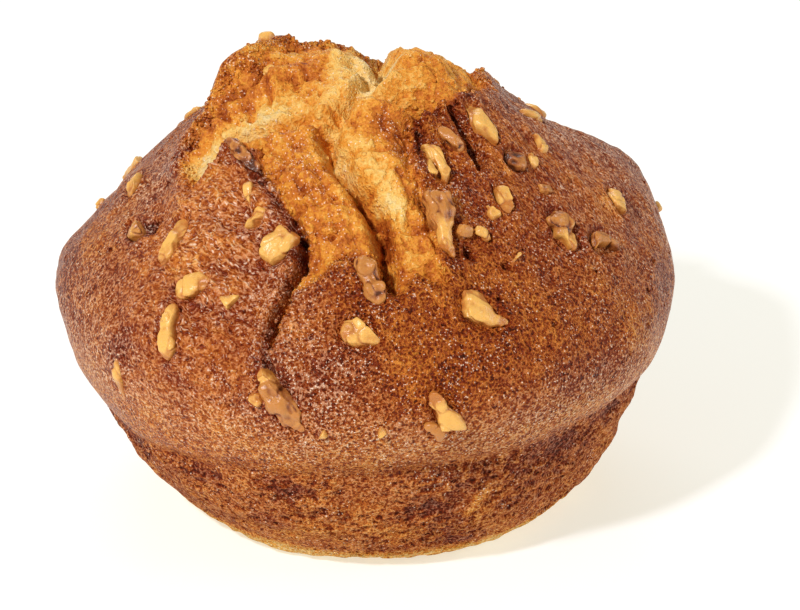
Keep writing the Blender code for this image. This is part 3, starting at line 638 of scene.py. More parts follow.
def lumps(points, size, seed):
    """Smooth noise from about -1 to 1, whose lumps are about this size in millimetres."""
    q = points / size + 100.0
    cell = np.floor(q)
    f = q - cell
    f = f * f * (3 - 2 * f)
    total = np.zeros(len(points))
    for corner in range(8):
        step = np.array([corner & 1, corner >> 1 & 1, corner >> 2 & 1])
        share = np.prod(np.where(step == 1, f, 1 - f), axis=1)
        total += share * lattice(cell + step, seed)
    return total


def layered(points, layers, more_seed=0):
    """The sum of a table of noise in layers."""
    return sum(height * lumps(points, size, seed + more_seed) for height, size, seed in layers)


def creases(points, size, seed, width, more_seed=0):
    """1 along winding lines, where noise crosses 0, and 0 away from them."""
    return ease(1 - np.abs(lumps(points, size, seed + more_seed)) / width)


def squeezed(points, squeeze):
    return points * np.array(squeeze)


def pores(points, size, seed):
    """Distance to the nearest of scattered pore centres, as a share of their spacing."""
    q = points / size + 100.0
    home = np.floor(q)
    best = np.full(len(points), 9.0)
    for near in range(27):
        cell = home + np.array([near % 3, near // 3 % 3, near // 9]) - 1
        jitter = np.stack([lattice(cell, seed + axis) for axis in range(3)], 1) * 0.4 + 0.5
        best = np.minimum(best, np.linalg.norm(cell + jitter - q, axis=1))
    return best


def holes(points, spacing, seed, radius, soft):
    """1 in scattered round holes, 0 outside them."""
    return ease((radius - pores(points, spacing, seed)) / soft)


# ---------------------------------------------------------------- the chart and its profile


def profile_table():
    """(rho, radius, height) down the smooth profile, from the crown to the middle of the base."""
    dome = [(share * RIM_RADIUS, RIM_HEIGHT + up * (CROWN_HEIGHT - RIM_HEIGHT)) for share, up in DOME]
    side = [
        (RIM_RADIUS, RIM_HEIGHT),
        (RIM_RADIUS - 1.0, RIM_HEIGHT - 5.5),
        (SHOULDER_RADIUS + 1.5, SHOULDER_HEIGHT + 3.0),
        (SHOULDER_RADIUS, SHOULDER_HEIGHT),
        ((SHOULDER_RADIUS + BASE_RADIUS) / 2 + 2.6, SHOULDER_HEIGHT / 2),
        (BASE_RADIUS + 5.6, 3.2 * BASE_EDGE),
        (BASE_RADIUS + 1.2, 0.7 * BASE_EDGE),
        (BASE_RADIUS - BASE_EDGE, 0.0),
    ]
    line = smooth_line(dome + side)
    line = np.vstack([line, [(0.0, 0.0)]])
    line[:, 1] = np.maximum(line[:, 1], 0)
    rho = np.concatenate([[0], np.cumsum(np.hypot(*np.diff(line, axis=0).T))])
    return rho, line[:, 0], line[:, 1]


RHO, RADIUS, HEIGHT = profile_table()
RHO_BASE = float(RHO[-2])
RHO_SHOULDER = float(RHO[np.argmin(np.abs(RADIUS - SHOULDER_RADIUS) + np.abs(HEIGHT - SHOULDER_HEIGHT))])
RHO_RIM = float(RHO[np.argmax(RADIUS)])
NORMAL_STEP = 1.5


def smooth_point(rho, bearing):
    """Points and outward normals of the smooth body, before its relief."""
    radius, height = np.interp(rho, RHO, RADIUS), np.interp(rho, RHO, HEIGHT)
    before, after = np.maximum(rho - NORMAL_STEP, 0), np.minimum(rho + NORMAL_STEP, RHO[-1])
    across = np.interp(after, RHO, RADIUS) - np.interp(before, RHO, RADIUS)
    down = np.interp(before, RHO, HEIGHT) - np.interp(after, RHO, HEIGHT)
    length = np.hypot(across, down)
    out, up = down / length, across / length
    c, s = np.cos(bearing), np.sin(bearing)
    return np.stack([radius * c, radius * s, height], 1), np.stack([out * c, out * s, up], 1)


def nearest(line, u, v, reach):
    """Distance from each point to a line of knots and the knots' other columns, within a reach."""
    knots = smooth_line(line, 6)
    best = np.full(len(u), 1e9)
    found = np.ones((len(u), knots.shape[1] - 2))
    low, high = knots[:, :2].min(0) - reach, knots[:, :2].max(0) + reach
    near = np.where((u > low[0]) & (u < high[0]) & (v > low[1]) & (v < high[1]))[0]
    nu, nv, away_best, columns = u[near], v[near], best[near], found[near]
    for a, b in zip(knots, knots[1:]):
        d = b[:2] - a[:2]
        t = np.clip(((nu - a[0]) * d[0] + (nv - a[1]) * d[1]) / max(d @ d, 1e-9), 0, 1)
        away = np.hypot(nu - a[0] - t * d[0], nv - a[1] - t * d[1])
        closer = away < away_best
        away_best[closer] = away[closer]
        columns[closer] = a[2:] + t[closer, None] * (b[2:] - a[2:])
    best[near], found[near] = away_best, columns
    return best, found


def inside(outline, u, v):
    """Signed distance to a closed outline, positive inside it."""
    ring = np.array(outline, float)
    best, odd = np.full(len(u), 1e9), np.zeros(len(u), bool)
    for a, b in zip(ring, np.roll(ring, -1, axis=0)):
        d = b - a
        t = np.clip(((u - a[0]) * d[0] + (v - a[1]) * d[1]) / (d @ d), 0, 1)
        best = np.minimum(best, np.hypot(u - a[0] - t * d[0], v - a[1] - t * d[1]))
        spans = (a[1] > v) != (b[1] > v)
        odd ^= spans & (u < d[0] * (v - a[1]) / (d[1] if d[1] else 1e-9) + a[0])
    return np.where(odd, best, -best)


def turned(u, v, place, bearing):
    """Chart coordinates about a place, along and across a bearing in degrees."""
    a = math.radians(bearing)
    du, dv = u - place[0], v - place[1]
    return du * math.cos(a) + dv * math.sin(a), dv * math.cos(a) - du * math.sin(a)


def patches(table, u, v):
    """The sum of the soft patches of a table of (u, v, half length, half width, bearing, amount)."""
    total = np.zeros(len(u))
    for cu, cv, length, width, bearing, amount in table:
        along, across = turned(u, v, (cu, cv), bearing)
        total += amount * np.exp(-((along / length) ** 2) - (across / width) ** 2)
    return total


# ---------------------------------------------------------------- the relief


class Relief:
    """The crust's relief and bake, with its painted shade, at a set of places, from the large forms to the
    fine ones.
    """

    def __init__(self, rho, bearing):
        self.rho, self.bearing = rho, bearing
        self.points, self.normals = smooth_point(rho, bearing)
        self.u, self.v = rho * np.cos(bearing), rho * np.sin(bearing)
        self.on_dome = 1 - rise(rho - RHO_RIM, *DOME_FADE)
        self.on_side = rise(rho - RHO_RIM, *SIDE_START) * (1 - rise(rho - RHO_BASE, *SIDE_FOOT))
        self.past_fold = rho - (RHO_SHOULDER + FOLD_DROP - SHOULDER_TILT * np.cos(bearing))
        self.border = inside(TORN_OUTLINE, self.u, self.v)
        self.ragged = self.border + layered(self.points, TORN_EDGE_NOISE)
        self.torn = rise(self.ragged, *TORN_STEP)
        self.fissure = self.fissure_depth()
        self.fold, self.fold_bake_and_shade = self.fold_height()
        self.nut_away, self.socket = self.socket_depth()
        wide, narrow = creases(self.points, *WIDE_CRACKS), creases(self.points, *NARROW_CRACKS)
        self.cracks = np.maximum(wide, NARROW_SHARE * narrow) * self.torn

    def patches(self, table):
        return patches(table, self.u, self.v)

    def fissure_depth(self):
        wander = layered(self.points, FISSURE_WANDER)
        deepest = np.zeros(len(self.u))
        for line in FISSURES:
            away, (width, depth) = self.along(line, FISSURE_REACH)
            deepest = np.maximum(deepest, depth * (1 - ease((away + wander) / (width * FISSURE_FLARE))))
        return deepest

    def fold_height(self):
        """The small ridges and folds, and the change of bake that goes with them, which in the folds is
        partly painted shade.
        """
        height, bake = np.zeros(len(self.u)), np.zeros(len(self.u))
        wander = layered(self.points, FOLD_WANDER)
        for change, line in FOLDS:
            away, (width, up) = self.along(line, FOLD_REACH)
            share = 1 - ease(np.abs(away + wander) / (width * FOLD_FLARE))
            height += FOLD_GAIN * up * share
            bake += change * share * np.clip(np.abs(up), 0, 1)
        return height, bake

    def along(self, line, reach):
        """Distance to a line of knots, and the knots' two values at its nearest place."""
        away, knots = nearest(line, self.u, self.v, reach)
        return away, knots.T

    def socket_depth(self):
        """How near the closest walnut is, and the shallow socket that each lies in."""
        total = np.zeros(len(self.u))
        closest = np.full(len(self.u), FAR_FROM_WALNUTS)
        for u, v, length, width, height, bearing, _spine, _skin in WALNUTS:
            near = np.where(np.hypot(self.u - u, self.v - v) < length * SOCKET_REACH)[0]
            along, across = turned(self.u[near], self.v[near], (u, v), bearing)
            away = np.hypot(along / (length * SOCKET_LENGTH), across / (width * SOCKET_WIDTH))
            total[near] += SOCKET_DEPTH * height * (1 - rise(away, *SOCKET_WALL))
            total[near] -= SOCKET_LIP_HEIGHT * hill(away, *SOCKET_LIP)
            closest[near] = np.minimum(closest[near], away)
        return closest, total

    def ribs(self):
        """Patches whose surface is drawn out into ribs."""
        total = np.zeros(len(self.u))
        for *patch, rib_bearing, height in RIBS:
            along, across = turned(self.u, self.v, (0, 0), rib_bearing)
            drawn = np.stack([along / STREAK_STRETCH, across, 0.4 * self.points[:, 2]], 1)
            total += self.patches([(*patch, height)]) * layered(drawn, RIB_NOISE)
        return total

    def dome_form(self):
        """The dome's large forms, close to the solid's, then its small ridges and folds."""
        relief = self.patches(SWELLINGS) - self.fissure - self.socket
        relief += LIP_HEIGHT * hill(self.border, *TORN_LIP) * (1 - self.torn) - TORN_DEPTH * self.torn
        relief += layered(self.points, DOME_NOISE)
        relief += (0.35 + 0.55 * self.torn) * lumps(self.points, 5.0, 32)
        crags = 1 - np.abs(lumps(squeezed(self.points, CRAG_SQUEEZE), 4.2, 33))
        knobs = layered(self.points, KNOB_NOISE)
        relief += self.torn * (0.8 * (crags - 0.6) + knobs) - CRACK_DEPTH * self.cracks
        return relief + self.fold + self.ribs()

    def side_form(self):
        """The side's wrinkles and the fold under the rim, a little shallower than the solid's."""
        wrinkles = layered(squeezed(self.points, WRINKLE_SQUEEZE), WRINKLE_NOISE)
        groove = GROOVE_DEPTH * hill(self.past_fold, *FOLD_GROOVE)
        tilt = TILT_HEIGHT * np.cos(self.bearing) * hill(self.past_fold, *FOLD_TILT)
        return wrinkles - groove - tilt + layered(self.points, SIDE_NOISE)

    def form(self):
        return self.on_dome * self.dome_form() + self.on_side * self.side_form()

    def streaked(self):
        """Where the crust is drawn out in slanting streaks."""
        return self.patches(STREAK_PATCHES) * (1 - self.torn)

    def dusty(self):
        """Where the crust is paler and pinker, partly its own tone and partly a painted sheen: the band over
        the rim and parts of the flanks.
        """
        band = hill(self.rho - RHO_SHOULDER, *PALE_AND_SHEEN_BAND)
        dust = self.patches(PALE_AND_SHEEN_PATCHES) * self.on_dome * (1 - self.torn)
        return np.clip(dust + 0.9 * band + 0.35 * self.side_share(), 0, 1.3)

    def glisten(self):
        """How much more than the rest of the crust each place glistens: more painted glints and a smoother
        finish.
        """
        lift = self.patches(GLISTEN_PATCHES) * self.on_dome - 0.8 * self.torn
        return lift + 0.3 * lumps(self.points, 7.0, 97) - 0.7 * self.side_share()

    def side_pits(self):
        """Patches of pits on the side, longer along it than down it, from 0 to 1."""
        level = squeezed(self.points, PIT_SQUEEZE)
        clusters = layered(level, PIT_CLUSTER_NOISE)
        clusters += 0.9 * hill(self.past_fold, *PITTED_BAND) * np.abs(np.cos(self.bearing))
        small, wide = (
            holes(level, spacing, seed, radius + 0.35 * clusters, soft)
            for spacing, seed, radius, soft in SIDE_PITS
        )
        return np.maximum(small, wide)

    def streaks(self):
        """Slanting ridges and wider waves between them."""
        along, across = turned(self.u, self.v, (0, 0), STREAK_BEARING)
        across = across + 0.9 * lumps(self.points, 5.0, 64)
        slanted = np.stack([along / STREAK_STRETCH, across, 0 * along], 1)
        return 0.46 * (0.5 - np.abs(lumps(slanted, 1.5, 53))) + 0.40 * lumps(slanted, 2.6, 54)

    def fine(self):
        """Pebbled crust, slanting streaks, torn crumb and the pitted side, all under a millimetre."""
        p, streaked = self.points, self.streaked()
        crust = layered(p, PEBBLE_NOISE) * (1 - 0.4 * streaked) + streaked * self.streaks()
        crust -= PIN_HOLE_DEPTH * holes(p, *PIN_HOLES)
        crumb = 0.30 * (0.55 - pores(p, 2.0, 61)) + 0.20 * lumps(p, 1.7, 62)
        crumb -= CRUMB_HOLE_DEPTH * holes(p, *CRUMB_HOLES)
        crumbs = 0.8 * np.maximum(lumps(p, 1.6, 67), -0.2) + 0.5 * lumps(p, 2.6, 68)
        dome = crust * (1 - self.torn) + crumb * self.torn + hill(self.ragged, *CRUMBLY_EDGE) * crumbs
        side = layered(p, GRIT_NOISE) - SIDE_PIT_DEPTH * self.side_pits()
        return self.on_dome * dome + self.side_share() * side

    def crumble(self):
        """Where crumbs cling: along the torn edges and less over the torn crumb, clear of the walnuts."""
        edge = hill(self.ragged, *CRUMB_EDGE) * rise(self.nut_away, *CLEAR_OF_WALNUT)
        return self.on_dome * (0.35 * edge + 0.02 * self.torn)

    def side_share(self):
        """1 on the rough side below the fold, 0 on the crust above it."""
        below = rise(self.past_fold + 2.2 * lumps(self.points, 6.0, 59), *WALL_START)
        return below * (1 - rise(self.rho - RHO_BASE, *WALL_FOOT))

    def dome_bake_and_shade(self, fine):
        """How baked the dome is, with painted shade in its hollows, cracks and folds and round its walnuts:
        its crust, its torn crumb, the folds and the named patches.
        """
        crust = CRUST_BAKE - 0.10 * hill(self.rho - RHO_SHOULDER, *PALE_RIM)
        # darker in the pebbles' hollows and pin holes, paler on their tops: partly painted shade
        crust += layered(self.points, CRUST_BAKE_NOISE) - 0.22 * np.clip(fine, -0.9, 0.5)
        soft_step = 1.8 + 9.0 * rise(self.v, -14, -2) + self.patches(SOFT_STEP_PATCHES)
        torn = ease(self.ragged / soft_step + 0.5)
        golden = TORN_BAKE + 0.07 * lumps(self.points, 6.0, 93) - 0.16 * rise(self.fissure, 1.2, 4.7)
        # darker in the cracks: painted shade
        golden += 0.12 * self.cracks - 0.04 * lumps(self.points, 2.6, 34)
        golden -= 0.20 * np.clip(fine, -0.6, 0.5)
        bake = crust * (1 - torn) + golden * torn + self.fold_bake_and_shade
        # the ring round each walnut is painted shade
        bake += (self.patches(BAKE_AND_SHADE_PATCHES) + 0.08 * hill(self.nut_away, *SOCKET_SHADE)) * self.on_dome
        return bake - BURNT_SOFTENED * np.maximum(bake - BURNT_FROM, 0)

    def wall_bake_and_shade(self, fine):
        """How baked the side is: pale at its foot, and darker in its pits, which is painted shade."""
        wall = WALL_BAKE + layered(self.points, WALL_BAKE_NOISE)
        # darker in the pits and the grit's hollows: painted shade
        wall += 0.14 * self.side_pits() - 0.10 * np.clip(fine, -0.9, 0.4)
        return wall - 0.40 * rise(self.rho - RHO_BASE, *PALE_FOOT) - self.patches(WALL_PATCHES)

    def bake(self, fine):
        """How baked each place is, from 0, raw crumb, to 1, burnt, with painted shade added in its hollows.
        """
        side = self.side_share()
        return np.clip(self.dome_bake_and_shade(fine) * (1 - side) + self.wall_bake_and_shade(fine) * side, LEAST_BAKE, 1)


def cake_rho(height_share, weights):
    """The rho for a share of the sphere's height, with more vertices where a weight is high."""
    dense = np.interp(RHO, *weights)
    area = np.diff(RHO) * (RADIUS[1:] + RADIUS[:-1]) / 2 * (dense[1:] + dense[:-1]) / 2
    area = np.concatenate([[0], np.cumsum(area)])
    return np.interp(height_share, area / area[-1], RHO)


def on_chart(u, v):
    """The surface point at a chart place and a frame there: right, back and outwards."""
    rho = np.array([math.hypot(u, v), math.hypot(u, v) + 0.5])
    bearing = np.full(2, math.atan2(v, u))
    relief = Relief(rho[[0, 0]], bearing)
    points, normals = smooth_point(rho, bearing)
    outward = Vector(normals[0])
    down = Vector(points[1] - points[0]).normalized()
    level = outward.cross(down)
    a = bearing[0]
    right = (down * math.cos(a) - level * math.sin(a)).normalized()
    back = outward.cross(right)
    return Vector(points[0] + normals[0] * relief.dome_form()[0]), right, back, outward

# ---------------------------------------------------------------- meshes


def ball(grid):
    """Unit directions and quads of a cube's grid blown up to a sphere: a mesh with no poles."""
    near, far = np.meshgrid(np.arange(grid + 1), np.arange(grid + 1), indexing="ij")
    cells, quads = [], []
    a, b = near[:-1, :-1].ravel(), far[:-1, :-1].ravel()
    for axis in range(3):
        for side in (0, grid):
            lattice_points = np.zeros((grid + 1, grid + 1, 3), int)
            lattice_points[..., axis] = side
            lattice_points[..., (axis + 1) % 3] = near
            lattice_points[..., (axis + 2) % 3] = far
            start = sum(len(block) for block in cells)
            cells.append(lattice_points.reshape(-1, 3))
            corner = start + a * (grid + 1) + b
            ring = np.stack([corner, corner + grid + 1, corner + grid + 2, corner + 1], 1)
            quads.append(ring if side else ring[:, ::-1])
    cells, quads = np.vstack(cells), np.vstack(quads)
    code = (cells[:, 0] * (grid + 1) + cells[:, 1]) * (grid + 1) + cells[:, 2]
    _codes, first, same = np.unique(code, return_index=True, return_inverse=True)
    cube = np.tan((cells[first] / grid * 2 - 1) * math.pi / 4)
    return cube / np.linalg.norm(cube, axis=1)[:, None], same.reshape(-1)[quads]


def new_mesh(name, points, faces):
    """A mesh object at the origin from points in millimetres and faces of one length."""
    mesh = bpy.data.meshes.new(name)
    count, sides = faces.shape
    mesh.vertices.add(len(points))
    mesh.vertices.foreach_set("co", (points * MM).astype(np.float32).ravel())
    mesh.loops.add(count * sides)
    mesh.loops.foreach_set("vertex_index", faces.astype(np.int32).ravel())
    mesh.polygons.add(count)
    mesh.polygons.foreach_set("loop_start", np.arange(0, count * sides, sides, dtype=np.int32))
    mesh.update(calc_edges=True)
    mesh.shade_smooth()
    return in_scene(name, mesh)


def in_scene(name, data):
    """A new object with this data, in the scene."""
    made = bpy.data.objects.new(name, data)
    bpy.context.scene.collection.objects.link(made)
    return made


def add_values(thing, **columns):
    """Float attributes on the points, by name."""
    for name, values in columns.items():
        layer = thing.data.attributes.new(name, "FLOAT", "POINT")
        layer.data.foreach_set("value", np.asarray(values, np.float32))


def applied(thing):
    """Gives a thing the mesh that its modifiers make, and takes them off."""
    graph = bpy.context.evaluated_depsgraph_get()
    thing.data = bpy.data.meshes.new_from_object(thing.evaluated_get(graph))
    thing.modifiers.clear()
    return thing


def kernel_body(directions, half, spine):
    """A walnut piece before it is cut: its spine's bends and waists, squarish across."""
    along, across, up = directions.T
    knots = smooth_line(KERNEL_SPINES[spine], 12)
    bow, wide, high, kept = (np.interp(along, knots[:, 0], knots[:, column]) for column in (1, 2, 3, 4))
    turn = np.arctan2(up, across)
    blunt = (1 - np.abs(along) ** SQUARENESS) ** 0.5
    square = 1 / (np.abs(np.cos(turn)) ** SQUARENESS + np.abs(np.sin(turn)) ** SQUARENESS) ** (1 / SQUARENESS)
    reach = blunt * square
    width, height = bow * 0.8 + wide * reach * np.cos(turn), high * reach * np.sin(turn)
    return np.column_stack([along * half[0], width * half[1], height * half[2]]), kept


def cut_flat(form, cuts, seed):
    """The form with its furthest parts pressed towards flat faces, the first of them upwards."""
    for cut in range(cuts):
        angle = seed * 2.4 + cut * 2.1
        upwards = 1.6 if cut == 0 else 0.25 * (cut % 2)
        facing = np.array([0.7 * math.cos(angle), math.sin(angle), upwards])
        facing /= np.linalg.norm(facing)
        over = form @ facing - np.max(form @ facing) * (0.74 + 0.12 * math.sin(angle * 3))
        form = form - facing * np.maximum(over, 0)[:, None] * CUT_FLATNESS
    return form


def kernel_form(directions, size, spine, seed, skin):
    """A walnut piece about its middle: its points, and what its material needs to know of each."""
    half = np.array(size) / 2
    form, kept = kernel_body(directions, half, spine)
    plan = layered(squeezed(form, KERNEL_PLAN_SQUEEZE), KERNEL_PLAN_NOISE, seed)
    form[:, :2] += directions[:, :2] * plan[:, None]
    form = cut_flat(form, KERNEL_CUTS.get(spine, 2), seed)
    cover = min(skin, 1) * kept
    drawn = squeezed(form, KERNEL_RIDGE_SQUEEZE) + layered(form, KERNEL_RIDGE_WARP, seed)[:, None]
    ridges = 0.5 - np.abs(layered(drawn, KERNEL_RIDGES, seed))
    crease = creases(form, *KERNEL_CREASES, seed)
    lobes = layered(form, KERNEL_LOBES, seed)
    rough = layered(form, KERNEL_ROUGHNESS, seed)
    relief = cover * (0.55 * ridges + 0.35 * lobes) + 0.2 * lobes - 0.3 * crease + rough
    form += directions * np.array(KERNEL_PUSH) * relief[:, None]
    values = {
        "skin": cover,
        "fold": 1.6 * ridges * cover + 0.5 * lobes - 0.8 * crease + 1.5 * rough,
        "burnt": np.full(len(form), max(skin - 1, 0)),
        "top": form[:, 2] / half[2] + layered(form, KERNEL_TOP_NOISE, seed),
    }
    return form, values


# ---------------------------------------------------------------- node helpers

# How far apart a tree's nodes are laid out
COLUMN_WIDTH, ROW_HEIGHT = 220, 280


def feed(tree, node, inputs):
    """Sets a node's inputs by name or place, each to a value or to another node's socket."""
    for slot, value in inputs.items():
        if isinstance(value, bpy.types.NodeSocket):
            tree.links.new(value, node.inputs[slot])
        else:
            node.inputs[slot].default_value = value


def new_node(tree, kind, inputs=None, **settings):
    node = tree.nodes.new(kind)
    for name, value in settings.items():
        setattr(node, name, value)
    feed(tree, node, inputs or {})
    return node


def maths(tree, operation, *values, clamp=False):
    """What a Math node makes of its values, each a number or a socket."""
    node = new_node(tree, "ShaderNodeMath", dict(enumerate(values)), operation=operation, use_clamp=clamp)
    return node.outputs[0]


def scaled(tree, value, factor, added, clamp=False):
    """value * factor + added."""
    return maths(tree, "MULTIPLY_ADD", value, factor, added, clamp=clamp)


def blend(tree, low, high, share):
    """low where the share is 0, high where it is 1."""
    return new_node(tree, "ShaderNodeMix", {2: low, 3: high, 0: share}, data_type="FLOAT").outputs[0]


def blend_colours(tree, low, high, share):
    """One colour where the share is 0, the other where it is 1."""
    return new_node(tree, "ShaderNodeMix", {6: low, 7: high, 0: share}, data_type="RGBA").outputs[2]


def colour_ramp(tree, share, stops):
    """The colour at a share of the way along stops of (colour, place)."""
    node = new_node(tree, "ShaderNodeValToRGB", {"Fac": share})
    elements = node.color_ramp.elements
    while len(elements) < len(stops):
        elements.new(0.5)
    for element, (colour, place) in zip(elements, stops):
        element.position = place
        element.color = (*colour, 1)
    return node.outputs["Color"]


def weighted(tree, start, *parts):
    """A start and parts of (value, weight), added up."""
    for value, weight in parts:
        start = scaled(tree, value, weight, start)
    return start


def noise(tree, coordinates, grain):
    """Noise from 0 to 1, its grain as (lumps to the metre, detail, roughness)."""
    scale, detail, rough = grain
    inputs = {"Scale": scale, "Detail": detail, "Roughness": rough, "Vector": coordinates}
    return new_node(tree, "ShaderNodeTexNoise", inputs).outputs["Fac"]


def centred(tree, coordinates, grain):
    """Noise from -0.5 to 0.5."""
    return maths(tree, "SUBTRACT", noise(tree, coordinates, grain), 0.5)


def scattered(tree, coordinates, scale):
    """Scattered cells, so many to the metre."""
    inputs = {"Scale": scale, "Vector": coordinates}
    return new_node(tree, "ShaderNodeTexVoronoi", inputs, feature="F1").outputs


def attribute(tree, name):
    return new_node(tree, "ShaderNodeAttribute", attribute_name=name).outputs["Fac"]


def arrange(tree):
    """Lays a tree's nodes out in columns, each node to the left of all that it feeds."""
    column, filled = dict.fromkeys(tree.nodes.keys(), 0), {}
    for _pass in tree.nodes:
        for wire in tree.links:
            before, after = wire.from_node.name, wire.to_node.name
            column[before] = max(column[before], column[after] + 1)
    for node in tree.nodes:
        row = filled[column[node.name]] = filled.get(column[node.name], 0) + 1
        node.location = (-COLUMN_WIDTH * column[node.name], -ROW_HEIGHT * row)


def shared_group(name, inputs, outputs, fill):
    """The named node group, made the first time it is asked for, its sockets as (name, kind, default)."""
    if name in bpy.data.node_groups:
        return bpy.data.node_groups[name]
    group = bpy.data.node_groups.new(name, "ShaderNodeTree")
    for socket, kind in outputs:
        group.interface.new_socket(name=socket, in_out="OUTPUT", socket_type=kind)
    made = fill(group, new_inputs(group, inputs))
    new_node(group, "NodeGroupOutput", made)
    arrange(group)
    return group


def new_inputs(tree, inputs):
    """A tree's inputs from (name, kind, default), as the sockets that they give."""
    for name, kind, value in inputs:
        socket = tree.interface.new_socket(name=name, in_out="INPUT", socket_type=kind)
        if value is not None:
            socket.default_value = value
    return new_node(tree, "NodeGroupInput").outputs


def place_group(tree, group, **values):
    """A group placed in a material with its own values."""
    return new_node(tree, "ShaderNodeGroup", values, node_tree=group).outputs

def new_material(name):
    """A material with its Principled shader and Object coordinates."""
    material = bpy.data.materials.new(name)
    material.use_nodes = True
    tree = material.node_tree
    coordinates = new_node(tree, "ShaderNodeTexCoord").outputs["Object"]
    return material, tree, tree.nodes["Principled BSDF"], coordinates


def bump(tree, height):
    """The normal of a relief whose height is in millimetres."""
    inputs = {"Strength": 1.0, "Distance": MM, "Height": height}
    return new_node(tree, "ShaderNodeBump", inputs).outputs["Normal"]


# ---------------------------------------------------------------- materials

# Where on the scale of bake each of the settings' tones stands
TONE_PLACES = (
    ("raw_crumb", 0.0),
    ("yellow_crumb", 0.2),
    ("golden", 0.4),
    ("amber", 0.55),
    ("brown_crust", 0.7),
    ("dark_crust", 0.82),
    ("burnt", 1.0),
)

# Grain of the materials' noise: (lumps to the metre, detail, roughness)
LARGE_MOTTLE, SMALL_MOTTLE = (130, 4, 0.6), (520, 3, 0.6)
COARSE_GRAIN, FINE_GRAIN, GRAIN_PATCHES = (900, 2, 0.6), (1900, 1, 0.5), (190, 3, 0.6)
SOFT_CRUMB_GRAIN = (700, 2, 0.5)
LARGE_KERNEL_GRAIN, FINE_KERNEL_GRAIN = (300, 3, 0.6), (1500, 2, 0.6)
TABLE_CLOUDS = (3, 2, 0.5)

# Pits and painted glints: cells to the metre, and how sharply each starts
PITS_TO_THE_METRE, PIT_SHARPNESS = 1000, 4.0
GLINTS_TO_THE_METRE, GLINT_SHARPNESS, GLINT_FALL = 2300, 6.0, -4.5

# Waves of the streaks: how many to the metre, how far each pushes them aside in metres, and how many
# times longer than wide the streaks' grain is
STREAK_WAVES, STREAK_PUSH, STREAK_LENGTH = 330, 0.0030, 2.4

# Colours, linear, the first with its alpha
# the paler crust's pinkish tone, also painted as its sheen and its glints
PALE_SHEEN_AND_GLINT_TONE = (0.96, 0.73, 0.56, 1)
BURNT_SKIN, DARK_SKIN = (0.09, 0.022, 0.006), (0.28, 0.075, 0.016)
TABLE_TONES = (((0.49, 0.49, 0.56), 0), ((0.51, 0.51, 0.58), 1))

CRUST_LOOK = {
    "IOR": 1.45,
    "Specular IOR Level": 0.11,
    "Subsurface Weight": 0.03,
    "Subsurface Radius": (1.0, 0.45, 0.2),
    "Subsurface Scale": 0.0008,
}
KERNEL_LOOK = {
    "IOR": 1.47,
    "Specular IOR Level": 0.5,
    "Subsurface Weight": 0.12,
    "Subsurface Radius": (1.0, 0.5, 0.15),
    "Subsurface Scale": 0.0012,
}
TABLE_LOOK = {
    "Roughness": 0.9,
    "Specular IOR Level": 0.1,
    "Emission Color": (1.0, 0.98, 0.79, 1),
    "Emission Strength": 0.63,
}


def baked_tone(group, given):
    """The colour of cake baked so far, mottled softly."""
    large, small = (noise(group, given["Vector"], grain) for grain in (LARGE_MOTTLE, SMALL_MOTTLE))
    mottle = weighted(group, -0.45, (large, 0.40), (small, 0.50))
    bake = scaled(group, mottle, given["Mottle"], given["Bake"], clamp=True)
    tones = bpy.context.scene.walnut_cake
    stops = [(getattr(tones, tone), place) for tone, place in TONE_PLACES]
    return {"Color": colour_ramp(group, bake, stops)}


def fine_grain(group, given):
    """Grain from -2 in the pits to 2 on the raised specks, and painted glints, more of them where Lift is
    high.
    """
    vector = given["Vector"]
    grains = (COARSE_GRAIN, FINE_GRAIN, GRAIN_PATCHES)
    coarse, fine, patch = (centred(group, vector, grain) for grain in grains)
    hollows, sparks = (scattered(group, vector, scale) for scale in (PITS_TO_THE_METRE, GLINTS_TO_THE_METRE))
    pit = maths(group, "SUBTRACT", scaled(group, patch, 0.9, 0.35), hollows["Distance"])
    pit = maths(group, "MULTIPLY", pit, PIT_SHARPNESS, clamp=True)
    pit = maths(group, "MULTIPLY", pit, given["Pits"])
    raised = weighted(group, 0.0, (coarse, 6.0), (fine, 8.0))
    likely = weighted(group, -0.62, (patch, 1.3), (given["Lift"], 0.22))
    chosen = weighted(group, likely, (sparks["Color"], 1.0), (raised, 0.05))
    chosen = maths(group, "MULTIPLY", chosen, GLINT_SHARPNESS, clamp=True)
    size = maths(group, "MULTIPLY", chosen, scaled(group, fine, 4.0, 1.8))
    glint = scaled(group, sparks["Distance"], GLINT_FALL, size, clamp=True)
    return {"Grain": maths(group, "SUBTRACT", raised, pit), "Glint": glint}


VECTOR_SOCKET = ("Vector", "NodeSocketVector", None)


def baked_tone_group():
    return shared_group(
        "Baked tone",
        [("Bake", "NodeSocketFloat", 0.7), ("Mottle", "NodeSocketFloat", 1.0), VECTOR_SOCKET],
        [("Color", "NodeSocketColor")],
        baked_tone,
    )


def fine_grain_group():
    return shared_group(
        "Fine grain",
        [("Pits", "NodeSocketFloat", 0.5), ("Lift", "NodeSocketFloat", 0.0), VECTOR_SOCKET],
        [("Grain", "NodeSocketFloat"), ("Glint", "NodeSocketFloat")],
        fine_grain,
    )


def streak_coordinates(tree):
    """The chart turned along the streaks, drawn out that way and made wavy, in metres."""
    chart = new_node(tree, "ShaderNodeAttribute", attribute_name="chart").outputs["Vector"]
    wavy = new_node(tree, "ShaderNodeTexNoise", {"Scale": STREAK_WAVES, "Detail": 1, "Vector": chart})
    push = {0: wavy.outputs["Color"], 1: (STREAK_PUSH, STREAK_PUSH, 0), 2: chart}
    pushed = new_node(tree, "ShaderNodeVectorMath", push, operation="MULTIPLY_ADD").outputs["Vector"]
    turned_by, stretched_by = (0, 0, math.radians(STREAK_BEARING)), (STREAK_LENGTH, 1, 1)
    mapping = {"Vector": pushed, "Rotation": turned_by, "Scale": stretched_by}
    return new_node(tree, "ShaderNodeMapping", mapping, vector_type="TEXTURE").outputs["Vector"]


